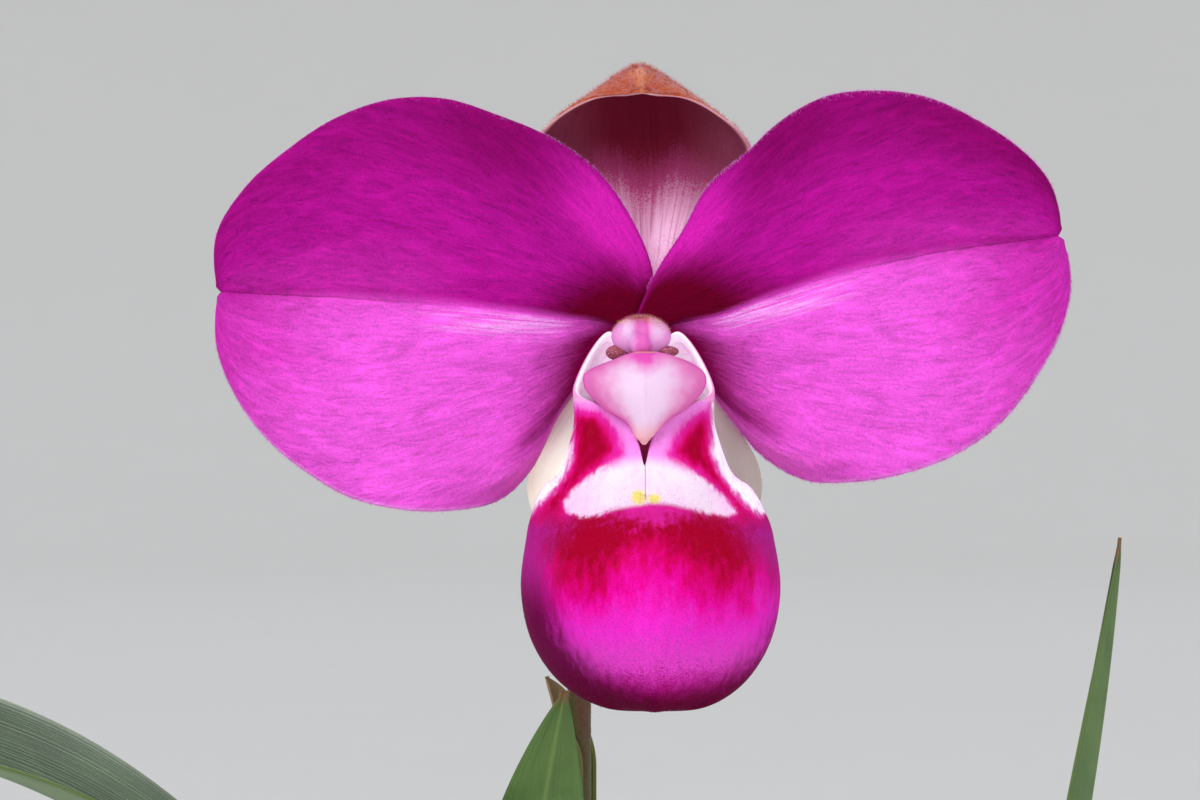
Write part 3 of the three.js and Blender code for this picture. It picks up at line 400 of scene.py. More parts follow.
SETTINGS = {
    "orchid_petals": PetalSettings,
    "orchid_sepals": SepalSettings,
    "orchid_lip": LipSettings,
    "orchid_centre": CentreSettings,
    "orchid_stalk": StalkSettings,
    "orchid_leaves": LeafSettings,
    "orchid_pot": PotSettings,
    "orchid_stage": StageSettings,
}


class Term:
    """A shader value that sums and products are written with."""

    def __init__(self, finish, socket):
        self.finish = finish
        self.socket = socket

    def __add__(self, other):
        return self.finish.math("ADD", self, other)

    def __sub__(self, other):
        return self.finish.math("SUBTRACT", self, other)

    def __rsub__(self, other):
        return self.finish.math("SUBTRACT", other, self)

    def __mul__(self, other):
        return self.finish.math("MULTIPLY", self, other)

    def __truediv__(self, other):
        return self.finish.math("DIVIDE", self, other)

    def __pow__(self, other):
        return self.finish.math("POWER", self, other)

    def __abs__(self):
        return self.finish.math("ABSOLUTE", self)

    def largest(self, other):
        """The larger of two values."""
        return self.finish.math("MAXIMUM", self, other)

    def rise(self, low, high):
        """0 below low, 1 above high, smooth between them."""
        node = self.finish.node("ShaderNodeMapRange", {"interpolation_type": "SMOOTHSTEP"},
                                {0: self, 1: low, 2: high, 3: 0.0, 4: 1.0})
        return Term(self.finish, node.outputs[0])

    def fall(self, low, high):
        """1 below low, 0 above high, smooth between them."""
        return 1 - self.rise(low, high)


class Finish:
    """One material and the nodes that make it."""

    def __init__(self, name):
        self.material = bpy.data.materials.new(name)
        self.material.use_nodes = True
        self.tree = self.material.node_tree
        self.tree.nodes.clear()

    def node(self, kind, settings=None, sockets=None):
        """A node with its settings made first and its sockets filled or linked after them."""
        made = self.tree.nodes.new(kind)
        for key, value in (settings or {}).items():
            if key == "stops":
                ramp = made.color_ramp.elements
                while len(ramp) < len(value):
                    ramp.new(0.5)
                for stop, (position, shade) in zip(ramp, value):
                    stop.position = position
                    stop.color = (*shade, 1.0)
            else:
                setattr(made, key, value)
        for key, value in (sockets or {}).items():
            if isinstance(value, Term):
                self.tree.links.new(value.socket, made.inputs[key])
            elif isinstance(value, bpy.types.NodeSocket):
                self.tree.links.new(value, made.inputs[key])
            elif made.inputs[key].type == "RGBA" and len(value) == 3:
                made.inputs[key].default_value = (*value, 1.0)
            else:
                made.inputs[key].default_value = value
        return made

    def math(self, operation, *values):
        """A number worked out from others."""
        made = self.node("ShaderNodeMath", {"operation": operation}, dict(enumerate(values)))
        return Term(self, made.outputs[0])

    def blend(self, factor, under, over):
        """Colour over laid on colour under."""
        made = self.node("ShaderNodeMix", {"data_type": "RGBA"}, {0: factor, 6: under, 7: over})
        return made.outputs[2]

    def shade(self, base, value):
        """A colour made darker or lighter by a value round 1."""
        made = self.node("ShaderNodeMix", {"data_type": "RGBA", "blend_type": "MULTIPLY"},
                         {0: 1.0, 6: base, 7: value.socket})
        return made.outputs[2]

    def ramp(self, value, stops):
        """Colours that follow one another along a value."""
        return self.node("ShaderNodeValToRGB", {"stops": stops}, {0: value}).outputs[0]

    def attribute(self, name):
        """A value marked on the mesh."""
        return Term(self, self.node("ShaderNodeAttribute", {"attribute_name": name}).outputs["Fac"])

    def place(self):
        """Object coordinates."""
        return self.node("ShaderNodeTexCoord").outputs["Object"]

    def sheet(self):
        """The piece's own UV map."""
        return self.node("ShaderNodeTexCoord").outputs["UV"]

    def parts(self, vector):
        """The three numbers of a vector."""
        made = self.node("ShaderNodeSeparateXYZ", None, {0: vector})
        return [Term(self, output) for output in made.outputs]

    def join(self, *numbers):
        """A vector of numbers."""
        return self.node("ShaderNodeCombineXYZ", None, dict(enumerate(numbers))).outputs[0]

    def noise(self, vector, scale, detail, rough=0.5, distortion=0.0):
        """Cloudy noise from 0 to 1."""
        sockets = {"Vector": vector, "Scale": scale, "Detail": detail, "Roughness": rough,
                   "Distortion": distortion}
        return Term(self, self.node("ShaderNodeTexNoise", None, sockets).outputs[0])

    def fibres(self, vector, scale, detail, rough=0.5, distortion=0.0):
        """Cloudy noise with a scale for each axis."""
        made = self.node("ShaderNodeMapping", None, {"Vector": vector, "Scale": scale})
        return self.noise(made.outputs[0], 1.0, detail, rough, distortion)

    def cells(self, vector, scale):
        """Distance to the nearest of scattered points."""
        made = self.node("ShaderNodeTexVoronoi", None, {"Vector": vector, "Scale": scale})
        return Term(self, made.outputs["Distance"])

    def bump(self, height, distance, strength=1.0, under=None):
        """A fine relief, laid on the relief under it."""
        sockets = {"Height": height, "Distance": distance, "Strength": strength}
        if under is not None:
            sockets["Normal"] = under
        return self.node("ShaderNodeBump", None, sockets).outputs[0]

    def done(self, base, roughness, normal=None, painted_glow=None, soft=0.0, **constants):
        """The surface itself; painted_glow is a painted glow, the share of its colour given off as light,
        soft the share that scatters inside, and the constants are the shader's own sockets by name."""
        sockets = {"Base Color": base, "Roughness": roughness}
        if painted_glow is not None:
            sockets["Emission Color"] = self.shade(base, painted_glow)
            sockets["Emission Strength"] = 1.0
        if normal is not None:
            sockets["Normal"] = normal
        if soft:
            sockets["Subsurface Weight"] = soft
            sockets["Subsurface Scale"] = SCATTER
        for key, value in constants.items():
            sockets[key.replace("_", " ")] = value
        shader = self.node("ShaderNodeBsdfPrincipled", None, sockets)
        self.node("ShaderNodeOutputMaterial", None, {"Surface": shader.outputs[0]})
        return self.material


def smooth(k):
    """0 to 1 with a soft start and end."""
    c = np.clip(k, 0.0, 1.0)
    return c * c * (3 - 2 * c)


def between(a, b, c, d, k):
    """The point a share k of the way from b to c on a smooth curve through a, b, c and d."""
    square = (2 * a - 5 * b + 4 * c - d) * k * k
    return 0.5 * (2 * b + (c - a) * k + square + (3 * b - a - 3 * c + d) * k ** 3)


def curve(rows, u):
    """Smooth line through equally spaced rows of numbers, for each u from 0 to 1."""
    rows = np.asarray(rows, float)
    last = len(rows) - 1
    longer = np.vstack([2 * rows[0] - rows[1], rows, 2 * rows[-1] - rows[-2]])
    at = np.clip(np.asarray(u, float) * last, 0, last - 1e-9)
    i = at.astype(int)
    k = (at - i)[:, None]
    a, b, c, d = longer[i], longer[i + 1], longer[i + 2], longer[i + 3]
    return between(a, b, c, d, k)


def unit(vectors):
    """Directions of length 1."""
    return vectors / np.maximum(np.linalg.norm(vectors, axis=1), 1e-12)[:, None]


def waves(seed, amounts, u, v):
    """A smooth uneven height made of sine waves; amounts holds (waves along u, along v, height)."""
    random = np.random.default_rng(seed)
    total = np.zeros_like(u)
    for along, across, height in amounts:
        phase, bend, tilt = random.uniform(0, 2 * math.pi, 3)
        wander = 0.9 * np.sin(2 * math.pi * 1.7 * u + bend) + 0.6 * np.sin(2 * math.pi * 2.3 * v + tilt)
        total += height * np.sin(2 * math.pi * (along * u + across * v) + phase + wander)
    return total


def seen(points):
    """Where points show from the front, in millimetres from the flower's centre."""
    depth = (points[:, 1] - VIEW[1]) / (FLOWER[1] - VIEW[1])
    x = (points[:, 0] - VIEW[0]) / depth + VIEW[0] - FLOWER[0]
    z = (points[:, 2] - VIEW[2]) / depth + VIEW[2] - FLOWER[2]
    return x, z


def patch(outline, x, z, feather):
    """1 inside a closed outline, 0 outside it, smooth across the feather."""
    inside = np.zeros(len(x), bool)
    near = np.full(len(x), 1e9)
    for (x0, z0), (x1, z1) in zip(outline, outline[1:] + outline[:1]):
        dx, dz = x1 - x0, z1 - z0
        t = np.clip(((x - x0) * dx + (z - z0) * dz) / (dx * dx + dz * dz), 0, 1)
        near = np.minimum(near, np.hypot(x - x0 - t * dx, z - z0 - t * dz))
        level = (z0 > z) != (z1 > z)
        inside ^= level & (x < dx * (z - z0) / (dz if abs(dz) > 1e-9 else 1e-9) + x0)
    return smooth(0.5 + 0.5 * np.where(inside, near, -near) / feather)


def corners(mesh):
    """The mesh's vertices as an array."""
    flat = np.empty(len(mesh.vertices) * 3)
    mesh.vertices.foreach_get("co", flat)
    return flat.reshape(-1, 3)


def put(mesh, points):
    """Moves the mesh's vertices to points given in millimetres."""
    mesh.vertices.foreach_set("co", (np.asarray(points) * MM).ravel())
    mesh.update()


def mark(mesh, name, values):
    """Keeps one number for each vertex."""
    field = mesh.attributes.new(name, "FLOAT", "POINT")
    field.data.foreach_set("value", np.asarray(values, np.float32))


def grid(name, along, across, place):
    """A sheet of squares laid where place(u, v) says, with u and v as its UV map."""
    bm = bmesh.new()
    bmesh.ops.create_grid(bm, x_segments=along, y_segments=across, size=0.5)
    mesh = bpy.data.meshes.new(name)
    bm.to_mesh(mesh)
    bm.free()
    flat = corners(mesh)
    u, v = flat[:, 0] + 0.5, flat[:, 1] + 0.5
    index = np.empty(len(mesh.loops), np.int32)
    mesh.loops.foreach_get("vertex_index", index)
    layer = mesh.uv_layers.new(name="UVMap")
    layer.data.foreach_set("uv", np.stack([u[index], v[index]], 1).ravel().astype(np.float32))
    put(mesh, place(u, v))
    return mesh, u, v


def piece(name, mesh, slot, materials, replaces=None):
    """An object for a finished mesh, riding on the part's one body."""
    made = bpy.data.objects.new(name, mesh)
    bpy.context.scene.collection.objects.link(made)
    for material in materials:
        mesh.materials.append(material)
    mesh.polygons.foreach_set("use_smooth", np.ones(len(mesh.polygons), bool))
    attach(made, "root")
    if replaces:
        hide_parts(replaces)
    return made


def face(mesh, direction):
    """Turns an open sheet so that it faces the given way on the whole."""
    normals = np.empty(len(mesh.polygons) * 3)
    mesh.polygons.foreach_get("normal", normals)
    if (normals.reshape(-1, 3) @ np.asarray(direction, float)).sum() < 0:
        mesh.flip_normals()


def inset(u, v, side, end):
    """0 on a sheet's margins and ends, 1 further in than side and end."""
    return np.minimum(smooth((1 - np.abs(2 * v - 1)) / side), smooth(np.minimum(u, 1 - u) / end))


def thicken(made, thickness, middle, thin, back=0):
    """Gives a sheet its thickness, thinner where middle is near 0."""
    solid = made.modifiers.new("thickness", "SOLIDIFY")
    solid.thickness = thickness
    solid.offset = 0.0
    solid.material_offset = back
    solid.use_even_offset = False
    group = made.vertex_groups.new(name="middle")
    level = np.clip(np.round(np.asarray(middle) * 20), 0, 20).astype(int)
    for step in np.unique(level):
        group.add(np.nonzero(level == step)[0].tolist(), float(step) / 20, "REPLACE")
    solid.vertex_group = "middle"
    solid.thickness_vertex_group = thin


def tube(name, along, around, place):
    """A closed rod whose skin place(u, v) gives, v going once round it."""
    mesh, _, _ = grid(name, along, around, place)
    bm = bmesh.new()
    bm.from_mesh(mesh)
    bmesh.ops.remove_doubles(bm, verts=bm.verts, dist=1e-6)
    rims = [edge for edge in bm.edges if edge.is_boundary]
    bmesh.ops.holes_fill(bm, edges=rims, sides=0)
    bmesh.ops.recalc_face_normals(bm, faces=bm.faces)
    bm.to_mesh(mesh)
    bm.free()
    return mesh


def settle(bm):
    """Puts corners and faces in one steady order, which a bevel leaves to chance."""
    for elements, spot in ((bm.verts, lambda vert: vert.co),
                           (bm.faces, lambda shape: shape.calc_center_median())):
        order = sorted(elements, key=lambda one: [round(value, 6) for value in spot(one)])
        rank = {one: place for place, one in enumerate(order)}
        elements.sort(key=rank.get)
        elements.index_update()


def many(build, number):
    """Mesh of a small shape repeated, with each corner's copy and its place in the shape."""
    apart = 4.0
    bm = bmesh.new()
    build(bm)
    copies = 1
    while copies < number:
        more = min(copies, number - copies)
        geom = [vert for vert in bm.verts if vert.co.x < (more - 0.5) * apart]
        chosen = set(geom)
        geom += [edge for edge in bm.edges if edge.verts[0] in chosen]
        geom += [shape for shape in bm.faces if shape.verts[0] in chosen]
        made = bmesh.ops.duplicate(bm, geom=geom)["geom"]
        fresh = [item for item in made if isinstance(item, bmesh.types.BMVert)]
        bmesh.ops.translate(bm, vec=(copies * apart, 0, 0), verts=fresh)
        copies += more
    mesh = bpy.data.meshes.new("many")
    bm.to_mesh(mesh)
    bm.free()
    local = corners(mesh)
    which = np.floor(local[:, 0] / apart + 0.5).astype(int)
    local[:, 0] -= which * apart
    return mesh, which, local


def hairs(name, roots, ways, length, radius, seed, material, slot):
    """Fine tapering hairs, one from each root along its way."""
    random = np.random.default_rng(seed)
    number = len(roots)
    mesh, which, local = many(lambda bm: bmesh.ops.create_cone(
        bm, cap_ends=True, cap_tris=True, segments=3, radius1=1.0, radius2=0.0, depth=1.0), number)
    mesh.name = name
    ways = unit(ways + random.normal(0, HAIR_SCATTER, (number, 3)))
    helper = np.where(np.abs(ways[:, 2:3]) < 0.8, [[0.0, 0.0, 1.0]], [[1.0, 0.0, 0.0]])
    side = unit(np.cross(ways, helper))
    other = np.cross(ways, side)
    long = length * random.uniform(0.55, 1.15, number)
    wide = radius * random.uniform(0.8, 1.2, number)
    points = (roots[which] + ways[which] * ((local[:, 2] + HAIR_STAND) * long[which])[:, None]
              + side[which] * (local[:, 0] * wide[which])[:, None]
              + other[which] * (local[:, 1] * wide[which])[:, None])
    put(mesh, points)
    return piece(name, mesh, slot, [material])


def roots_on(place, u, v, lift, sign=1.0):
    """Points on a sheet and the way out of it at each, lifted off its middle by lift."""
    step = 1e-3
    p = place(u, v)
    along = place(np.clip(u + step, 0, 1), v) - place(np.clip(u - step, 0, 1), v)
    across = place(u, np.clip(v + step, 0, 1)) - place(u, np.clip(v - step, 0, 1))
    out = unit(np.cross(along, across)) * sign
    return p + out * lift, out


def blade(lines, u, v, power, bulge, crown=0.0):
    """A blade between a middle line and its two margins, in millimetres, rounded on top by crown."""
    side = 2 * v - 1
    a = np.abs(side)
    middle = curve(lines["mid"], u)
    margin = np.where((side < 0)[:, None], curve(lines["lower"], u), curve(lines["upper"], u))
    weight = [a ** p for p in power]
    if crown:
        weight[2] = np.sqrt(a * a + crown ** 2) - crown * (1 - a)
    out = middle + (margin - middle) * np.stack(weight, 1)
    out[:, 1] += bulge * 4 * a * (1 - a) * np.sin(math.pi * np.clip(u, 0, 1)) ** 0.7
    return out + FLOWER


def mirrored(shape):
    """Both margins of a shape given by its middle line and one half width."""
    mid = np.asarray(shape["mid"], float)
    side = np.asarray(shape["side"], float)
    lower = np.stack([mid[:, 0] - side[:, 0], side[:, 1], side[:, 2]], 1)
    upper = np.stack([mid[:, 0] + side[:, 0], side[:, 1], side[:, 2]], 1)
    return {"mid": mid, "lower": lower, "upper": upper}


def petal_place(lines, look, seed):
    """Where a petal's skin lies."""
    ripple = look.ripple / MM
    crease = look.crease / MM

    def place(u, v):
        side = 2 * v - 1
        a = np.abs(side)
        out = blade(lines, u, v, [1, 0.95, 1], -2.6)
        inner = np.sin(math.pi * np.clip(u, 0, 1)) ** 0.6
        out[:, 1] += crease * np.exp(-(side / 0.05) ** 2) * inner
        out[:, 1] += ripple * waves(seed, PETAL_RIPPLES, u, v) * inner * smooth((1 - a) / 0.08)
        out[:, 1] += 0.8 * a ** 3 * waves(seed + 1, SWAYS, u, v) * inner
        curl = smooth((-side - 0.88) / 0.12) * smooth((u - 0.04) / 0.08) * smooth((0.46 - u) / 0.14)
        out[:, 1] += 2.2 * curl
        return out
    return place


def petal_finish(look):
    """Velvet of a petal's face: dark throat, pale streaks below the midrib, short wrinkles."""
    f = Finish("petal_velvet")
    u, v, _ = f.parts(f.sheet())
    x, _, z = f.parts(f.place())
    side = v * 2 - 1
    far = abs(side)
    angle = f.math("ARCTAN2", z - 0.4, abs(x + 0.002) + 0.004)
    fan = f.join(u, v * 0.4 + angle * 0.36)
    wrinkle = f.fibres(fan, (15.0, 52.0, 1.0), 4.0, 0.62, 2.0)
    fold = f.fibres(fan, (8.0, 22.0, 1.0), 3.0, 0.6, 1.6)
    vein = f.fibres(fan, (4.0, 90.0, 1.0), 2.0, 0.5, 0.5)
    broad = f.fibres(f.sheet(), (3.0, 5.0, 1.0), 2.0)
    pile = f.noise(f.place(), 2600.0, 3.0, 0.7)
    right = x.rise(0.02, 0.06)
    # Painted shade towards the upper margin, stronger on the right petal
    shadow = side.rise(0.34, 0.9) * u.rise(0.2, 0.4) * (right * 0.35 + u.fall(0.4, 0.6) * 0.35 + 0.6)
    top = f.blend(shadow, look.upper, look.shoulder)
    top = f.blend(side.fall(0.0, 0.42) * u.rise(0.4, 0.58) * u.fall(0.86, 1.0) * 0.9, top, look.outer)
    # Painted highlight on the inner shoulder beside the upper sepal
    top = f.blend(u.fall(0.2, 0.34) * side.rise(0.4, 0.7) * side.fall(0.93, 1.0), top, look.inner)
    # Dark throat: partly the petal's own colour, partly painted shade beside the column
    reach = u + far * 0.3 - x.rise(-0.004, 0.0) * 0.05 + (wrinkle - 0.5) * 0.07
    top = f.blend(reach.fall(0.23, 0.4), top, look.throat)
    low = f.blend((u + broad * 0.3 + right * 0.05).rise(0.7, 1.1), look.lower, look.outer)
    # Painted shade beside the lip, then a band of painted shade with hair specks at the fold of the turned
    # margin
    corner = u + far.fall(0.06, 0.24) * 0.07 + far.rise(0.5, 0.9) * 0.05 + (wrinkle - 0.5) * 0.08
    low = f.blend(corner.fall(0.15, 0.37), low, look.band)
    band = side.rise(-0.84, -0.76) * side.fall(-0.74, -0.55) * u.rise(0.08, 0.14) * u.fall(0.26, 0.36)
    low = f.blend(band * pile * 1.2, low, look.band)
    low = f.blend(side.fall(-0.9, -0.78) * u.fall(0.28, 0.42) * 0.6, low, look.strip)
    # Upper half partly painted shade, lower half partly painted light, split at the midrib
    above = (side + (wrinkle - 0.5) * 0.05).rise(-0.01, 0.06)
    base = f.blend(above, low, top)
    base = f.blend(u.rise(0.5, 0.95) * far.fall(0.0, 0.3) * 0.45, base, look.upper)
    streaks = f.fibres(f.sheet(), (5.0, 120.0, 1.0), 3.0, 0.65, 0.4)
    zone = side.rise(-0.2, -0.07) * side.fall(-0.05, 0.03) * u.rise(0.19, 0.29) * u.fall(0.36, 0.6)
    base = f.blend((zone * (streaks * 3.4 - 1.15)).rise(0.0, 1.0) * 0.9, base, look.streak)
    # Painted shade along the crease of the midrib
    line = abs(side - (wrinkle - 0.5) * 0.03).fall(0.0, 0.02) * u.rise(0.4, 0.6) * u.fall(0.93, 1.0)
    base = f.blend(line * 0.4, base, look.throat)
    # Painted highlight: pale glints of the hairs along the lower margin
    base = f.blend(side.fall(-0.995, -0.972) * u.rise(0.3, 0.4) * 0.45, base, look.streak)
    tone = ((wrinkle - 0.5) * 0.9 + (fold - 0.5) * 0.7) * (u.rise(0.05, 0.4) * 0.55 + 0.45)
    base = f.shade(base, tone + (broad - 0.5) * 0.4 + (pile - 0.5) * 0.9 + 1.0)
    relief = f.bump(wrinkle + fold, 0.0009, 0.5)
    relief = f.bump(vein * 0.2 + pile, 0.00025, 0.6, relief)
    return f.done(base, 0.75, relief, soft=0.08, Sheen_Weight=0.04, Sheen_Roughness=0.4,
                  Sheen_Tint=(1.0, 0.5, 0.95, 1.0), Subsurface_Radius=(1.0, 0.2, 0.6),
                  Specular_IOR_Level=0.02)


def petal_back_finish(look):
    """Paler, veined back of a petal."""
    f = Finish("petal_back")
    u, v, _ = f.parts(f.sheet())
    vein = f.fibres(f.sheet(), (4.0, 46.0, 1.0), 3.0, 0.55, 0.5)
    rib = abs(v * 2 - 1).fall(0.0, 0.05) * u.fall(0.85, 1.0)
    base = f.blend(rib * 0.55, look.back, look.throat)
    base = f.blend(u.fall(0.0, 0.25) * 0.4, base, look.upper)
    base = f.shade(base, (vein - 0.5) * 0.5 + 1.0)
    return f.done(base, 0.6, f.bump(vein, 0.0006, 0.8), soft=0.1, Sheen_Weight=0.3,
                  Sheen_Roughness=0.4, Specular_IOR_Level=0.3)


def plain_hair_finish(name, low, high):
    """Hairs of two near colours."""
    f = Finish(name)
    mix = f.noise(f.place(), 900.0, 1.0)
    return f.done(f.blend(mix.rise(0.35, 0.65), low, high), 0.55, Specular_IOR_Level=0.35)


class BuildPetals(bpy.types.Operator):
    """Builds the two petals and the hairs on their margins"""
    bl_idname = "orchid.build_petals"
    bl_label = "Petals"

    def execute(self, context):
        look = context.scene.orchid_petals
        face_finish = petal_finish(look)
        back_finish = petal_back_finish(look)
        hair_finish = plain_hair_finish("petal_hairs", look.lower, look.streak)
        for name, lines, seed in (("petal_left", LEFT_PETAL, 11), ("petal_right", RIGHT_PETAL, 23)):
            place = petal_place(lines, look, seed)
            mesh, u, v = grid(name, 150, 190, place)
            face(mesh, (0, -1, 0))
            made = piece(name, mesh, "petal", [face_finish, back_finish], name)
            edge = inset(u, v, 0.06, 0.03)
            thicken(made, look.thickness, edge, 0.3, 1)
            random = np.random.default_rng(seed)
            number = look.hairs
            hu = random.uniform(0.05, 0.98, number)
            low = random.random(number) < 0.75
            hv = np.where(low, random.beta(1, 14, number) * 0.25, 1 - random.beta(1, 20, number) * 0.1)
            root, out = roots_on(place, hu, hv, 0.1)
            middle = place(hu, np.full(number, 0.5))
            outward = unit(root - middle)
            away = np.where((out[:, 1] > 0)[:, None], -out, out)
            hairs(name + "_hairs", root, outward * 1.1 + away * 0.6, look.hair_length / MM, 0.04, seed,
                  hair_finish, "petal")
        return {"FINISHED"}


def sepal_finish(look):
    """Inside of the upper sepal: pale and streaked at the base, maroon in the hood."""
    f = Finish("upper_sepal_inside")
    u, v, _ = f.parts(f.sheet())
    side = abs(v * 2 - 1)
    streak = f.fibres(f.sheet(), (2.6, 46.0, 1.0), 3.0, 0.6, 0.4)
    pile = f.noise(f.place(), 3000.0, 2.0, 0.6)
    height = u + (streak - 0.5) * 0.1 - side.rise(0.02, 0.4) * 0.06 + (pile - 0.5) * 0.16
    # Maroon towards the top: partly its own colour, partly painted shade under the hood
    base = f.ramp(height, [(0.0, look.blush), (0.19, look.blush), (0.31, look.wine), (0.4, look.maroon),
                           (1.0, look.maroon)])
    base = f.blend(streak.rise(0.48, 0.66) * u.fall(0.2, 0.4) * 0.5, base, look.wine)
    # Mauve sides: partly their own colour, partly a painted sheen
    base = f.blend(side.rise(0.25, 0.9) * u.fall(0.4, 0.9) * 0.5, base, look.mauve)
    edge = (side + (u - 0.8).largest(0.0) * 0.6).rise(0.94, 0.985).largest(u.rise(0.97, 0.985))
    base = f.blend(edge * 0.9, base, look.rim)
    base = f.shade(base, (streak - 0.5) * 0.4 + (pile - 0.5) * (u.fall(0.25, 0.45) * 0.6 + 0.6) + 1.0)
    # Painted glow, strongest at the base, lifts the sepal where the petals shade it
    return f.done(base, 0.7, f.bump(streak + pile * 0.4, 0.0004, 0.7), u.fall(0.12, 0.45) * 0.32 + 0.04,
                  soft=0.06, Sheen_Weight=0.05, Sheen_Roughness=0.4, Specular_IOR_Level=0.05)


def sepal_back_finish(look):
    """Felted tan outside of the upper sepal."""
    f = Finish("upper_sepal_outside")
    u, v, _ = f.parts(f.sheet())
    streak = f.fibres(f.sheet(), (2.6, 40.0, 1.0), 3.0, 0.6, 0.4)
    pile = f.noise(f.place(), 2400.0, 2.0, 0.6)
    middle = abs(v * 2 - 1 + (streak - 0.5) * 0.3)
    # Painted highlight: apricot along the middle, strongest towards the top
    base = f.blend(middle.fall(0.0, 0.3) * (u.rise(0.5, 0.75) * 0.45 + 0.1), look.tan, look.apricot)
    base = f.blend(streak.rise(0.5, 0.75) * 0.35, base, look.wine)
    base = f.shade(base, (pile - 0.5) * 0.7 + (streak - 0.5) * 0.3 + 1.0)
    return f.done(base, 0.75, f.bump(pile + streak, 0.0004, 0.8), Sheen_Weight=0.4, Sheen_Roughness=0.5,
                  Specular_IOR_Level=0.25)


def synsepal_finish(look):
    """Cream inside of the lower sepal, with faint green veins."""
    f = Finish("lower_sepal_inside")
    u, v, _ = f.parts(f.sheet())
    streak = f.fibres(f.sheet(), (2.2, 40.0, 1.0), 3.0, 0.6, 0.4)
    base = f.blend(streak.rise(0.5, 0.75) * 0.25, look.cream, look.sage)
    base = f.blend(u.fall(0.0, 0.3) * 0.3, base, look.rim)
    base = f.blend(abs(v * 2 - 1).rise(0.8, 1.0) * 0.25, base, look.sage)
    x, _, z = f.parts(f.place())
    # Painted shadow on the right side
    base = f.shade(base, x.rise(0.004, 0.014) * -0.3 + 1.0)
    # Painted glow on the lower left, below the petals
    painted_light = x.fall(-0.012, -0.004) * z.fall(0.373, 0.383) * 0.34
    return f.done(base, 0.6, f.bump(streak, 0.0004, 0.8), painted_light, soft=0.12, Sheen_Weight=0.1,
                  Specular_IOR_Level=0.3)


def synsepal_back_finish(look):
    """Felted outside of the lower sepal."""
    f = Finish("lower_sepal_outside")
    streak = f.fibres(f.sheet(), (2.2, 34.0, 1.0), 3.0, 0.6, 0.4)
    pile = f.noise(f.place(), 2400.0, 2.0, 0.6)
    base = f.blend(streak.rise(0.45, 0.75) * 0.6, look.sage, look.tan)
    base = f.shade(base, (pile - 0.5) * 0.5 + 1.0)
    return f.done(base, 0.75, f.bump(pile + streak, 0.0004, 0.8), Sheen_Weight=0.4, Specular_IOR_Level=0.25)


class BuildSepals(bpy.types.Operator):
    """Builds the hooded upper sepal and the fused lower sepals"""
    bl_idname = "orchid.build_sepals"
    bl_label = "Sepals"

    def execute(self, context):
        look = context.scene.orchid_sepals
        shapes = (
            ("dorsal_sepal", mirrored(DORSAL_SEPAL), [1, 1.5, 1.1], 0.16, 31, "sepal",
             [sepal_finish(look), sepal_back_finish(look)], look.tan),
            ("synsepal", mirrored(SYNSEPAL), [1, 1.8, 1.5], 0.0, 37, "synsepal",
             [synsepal_finish(look), synsepal_back_finish(look)], look.sage),
        )
        for name, lines, power, crown, seed, slot, finishes, hair in shapes:
            def place(u, v, lines=lines, power=power, crown=crown, seed=seed):
                side = 2 * v - 1
                out = blade(lines, u, v, power, 0.0, crown)
                inner = np.sin(math.pi * np.clip(u, 0, 1)) ** 0.6
                low = smooth((1 - np.abs(side)) / 0.1)
                out[:, 1] += 0.16 * waves(seed, SEPAL_RIPPLES, u, v) * inner * low
                out[:, 1] += 0.35 * np.abs(side) ** 3 * waves(seed + 1, SWAYS, u, v) * inner
                return out
            mesh, u, v = grid(name, 110, 110, place)
            face(mesh, (0, -1, 0))
            made = piece(name, mesh, slot, finishes, name)
            edge = inset(u, v, 0.08, 0.04)
            thicken(made, look.thickness, edge, 0.35, 1)
            random = np.random.default_rng(seed)
            number = look.hairs
            hu = random.uniform(0.06, 0.98, number)
            hv = random.uniform(0.0, 1.0, number)
            tuft = random.random(number) < 0.16
            hu = np.where(tuft, np.clip(random.normal(0.76, 0.05, number), 0, 0.98), hu)
            hv = np.where(tuft, np.clip(random.normal(0.5, 0.14, number), 0, 1), hv)
            _, middle = roots_on(place, np.array([0.3]), np.array([0.5]), 0.0)
            root, out = roots_on(place, hu, hv, 0.3, np.sign(middle[0, 1]))
            fine_hair = plain_hair_finish(name + "_hair", hair, look.rim)
            long = look.hair_length / MM * np.where(tuft, 1.5, 1.0)
            hairs(name + "_hairs", root, out, long, 0.045, seed, fine_hair, slot)
        return {"FINISHED"}


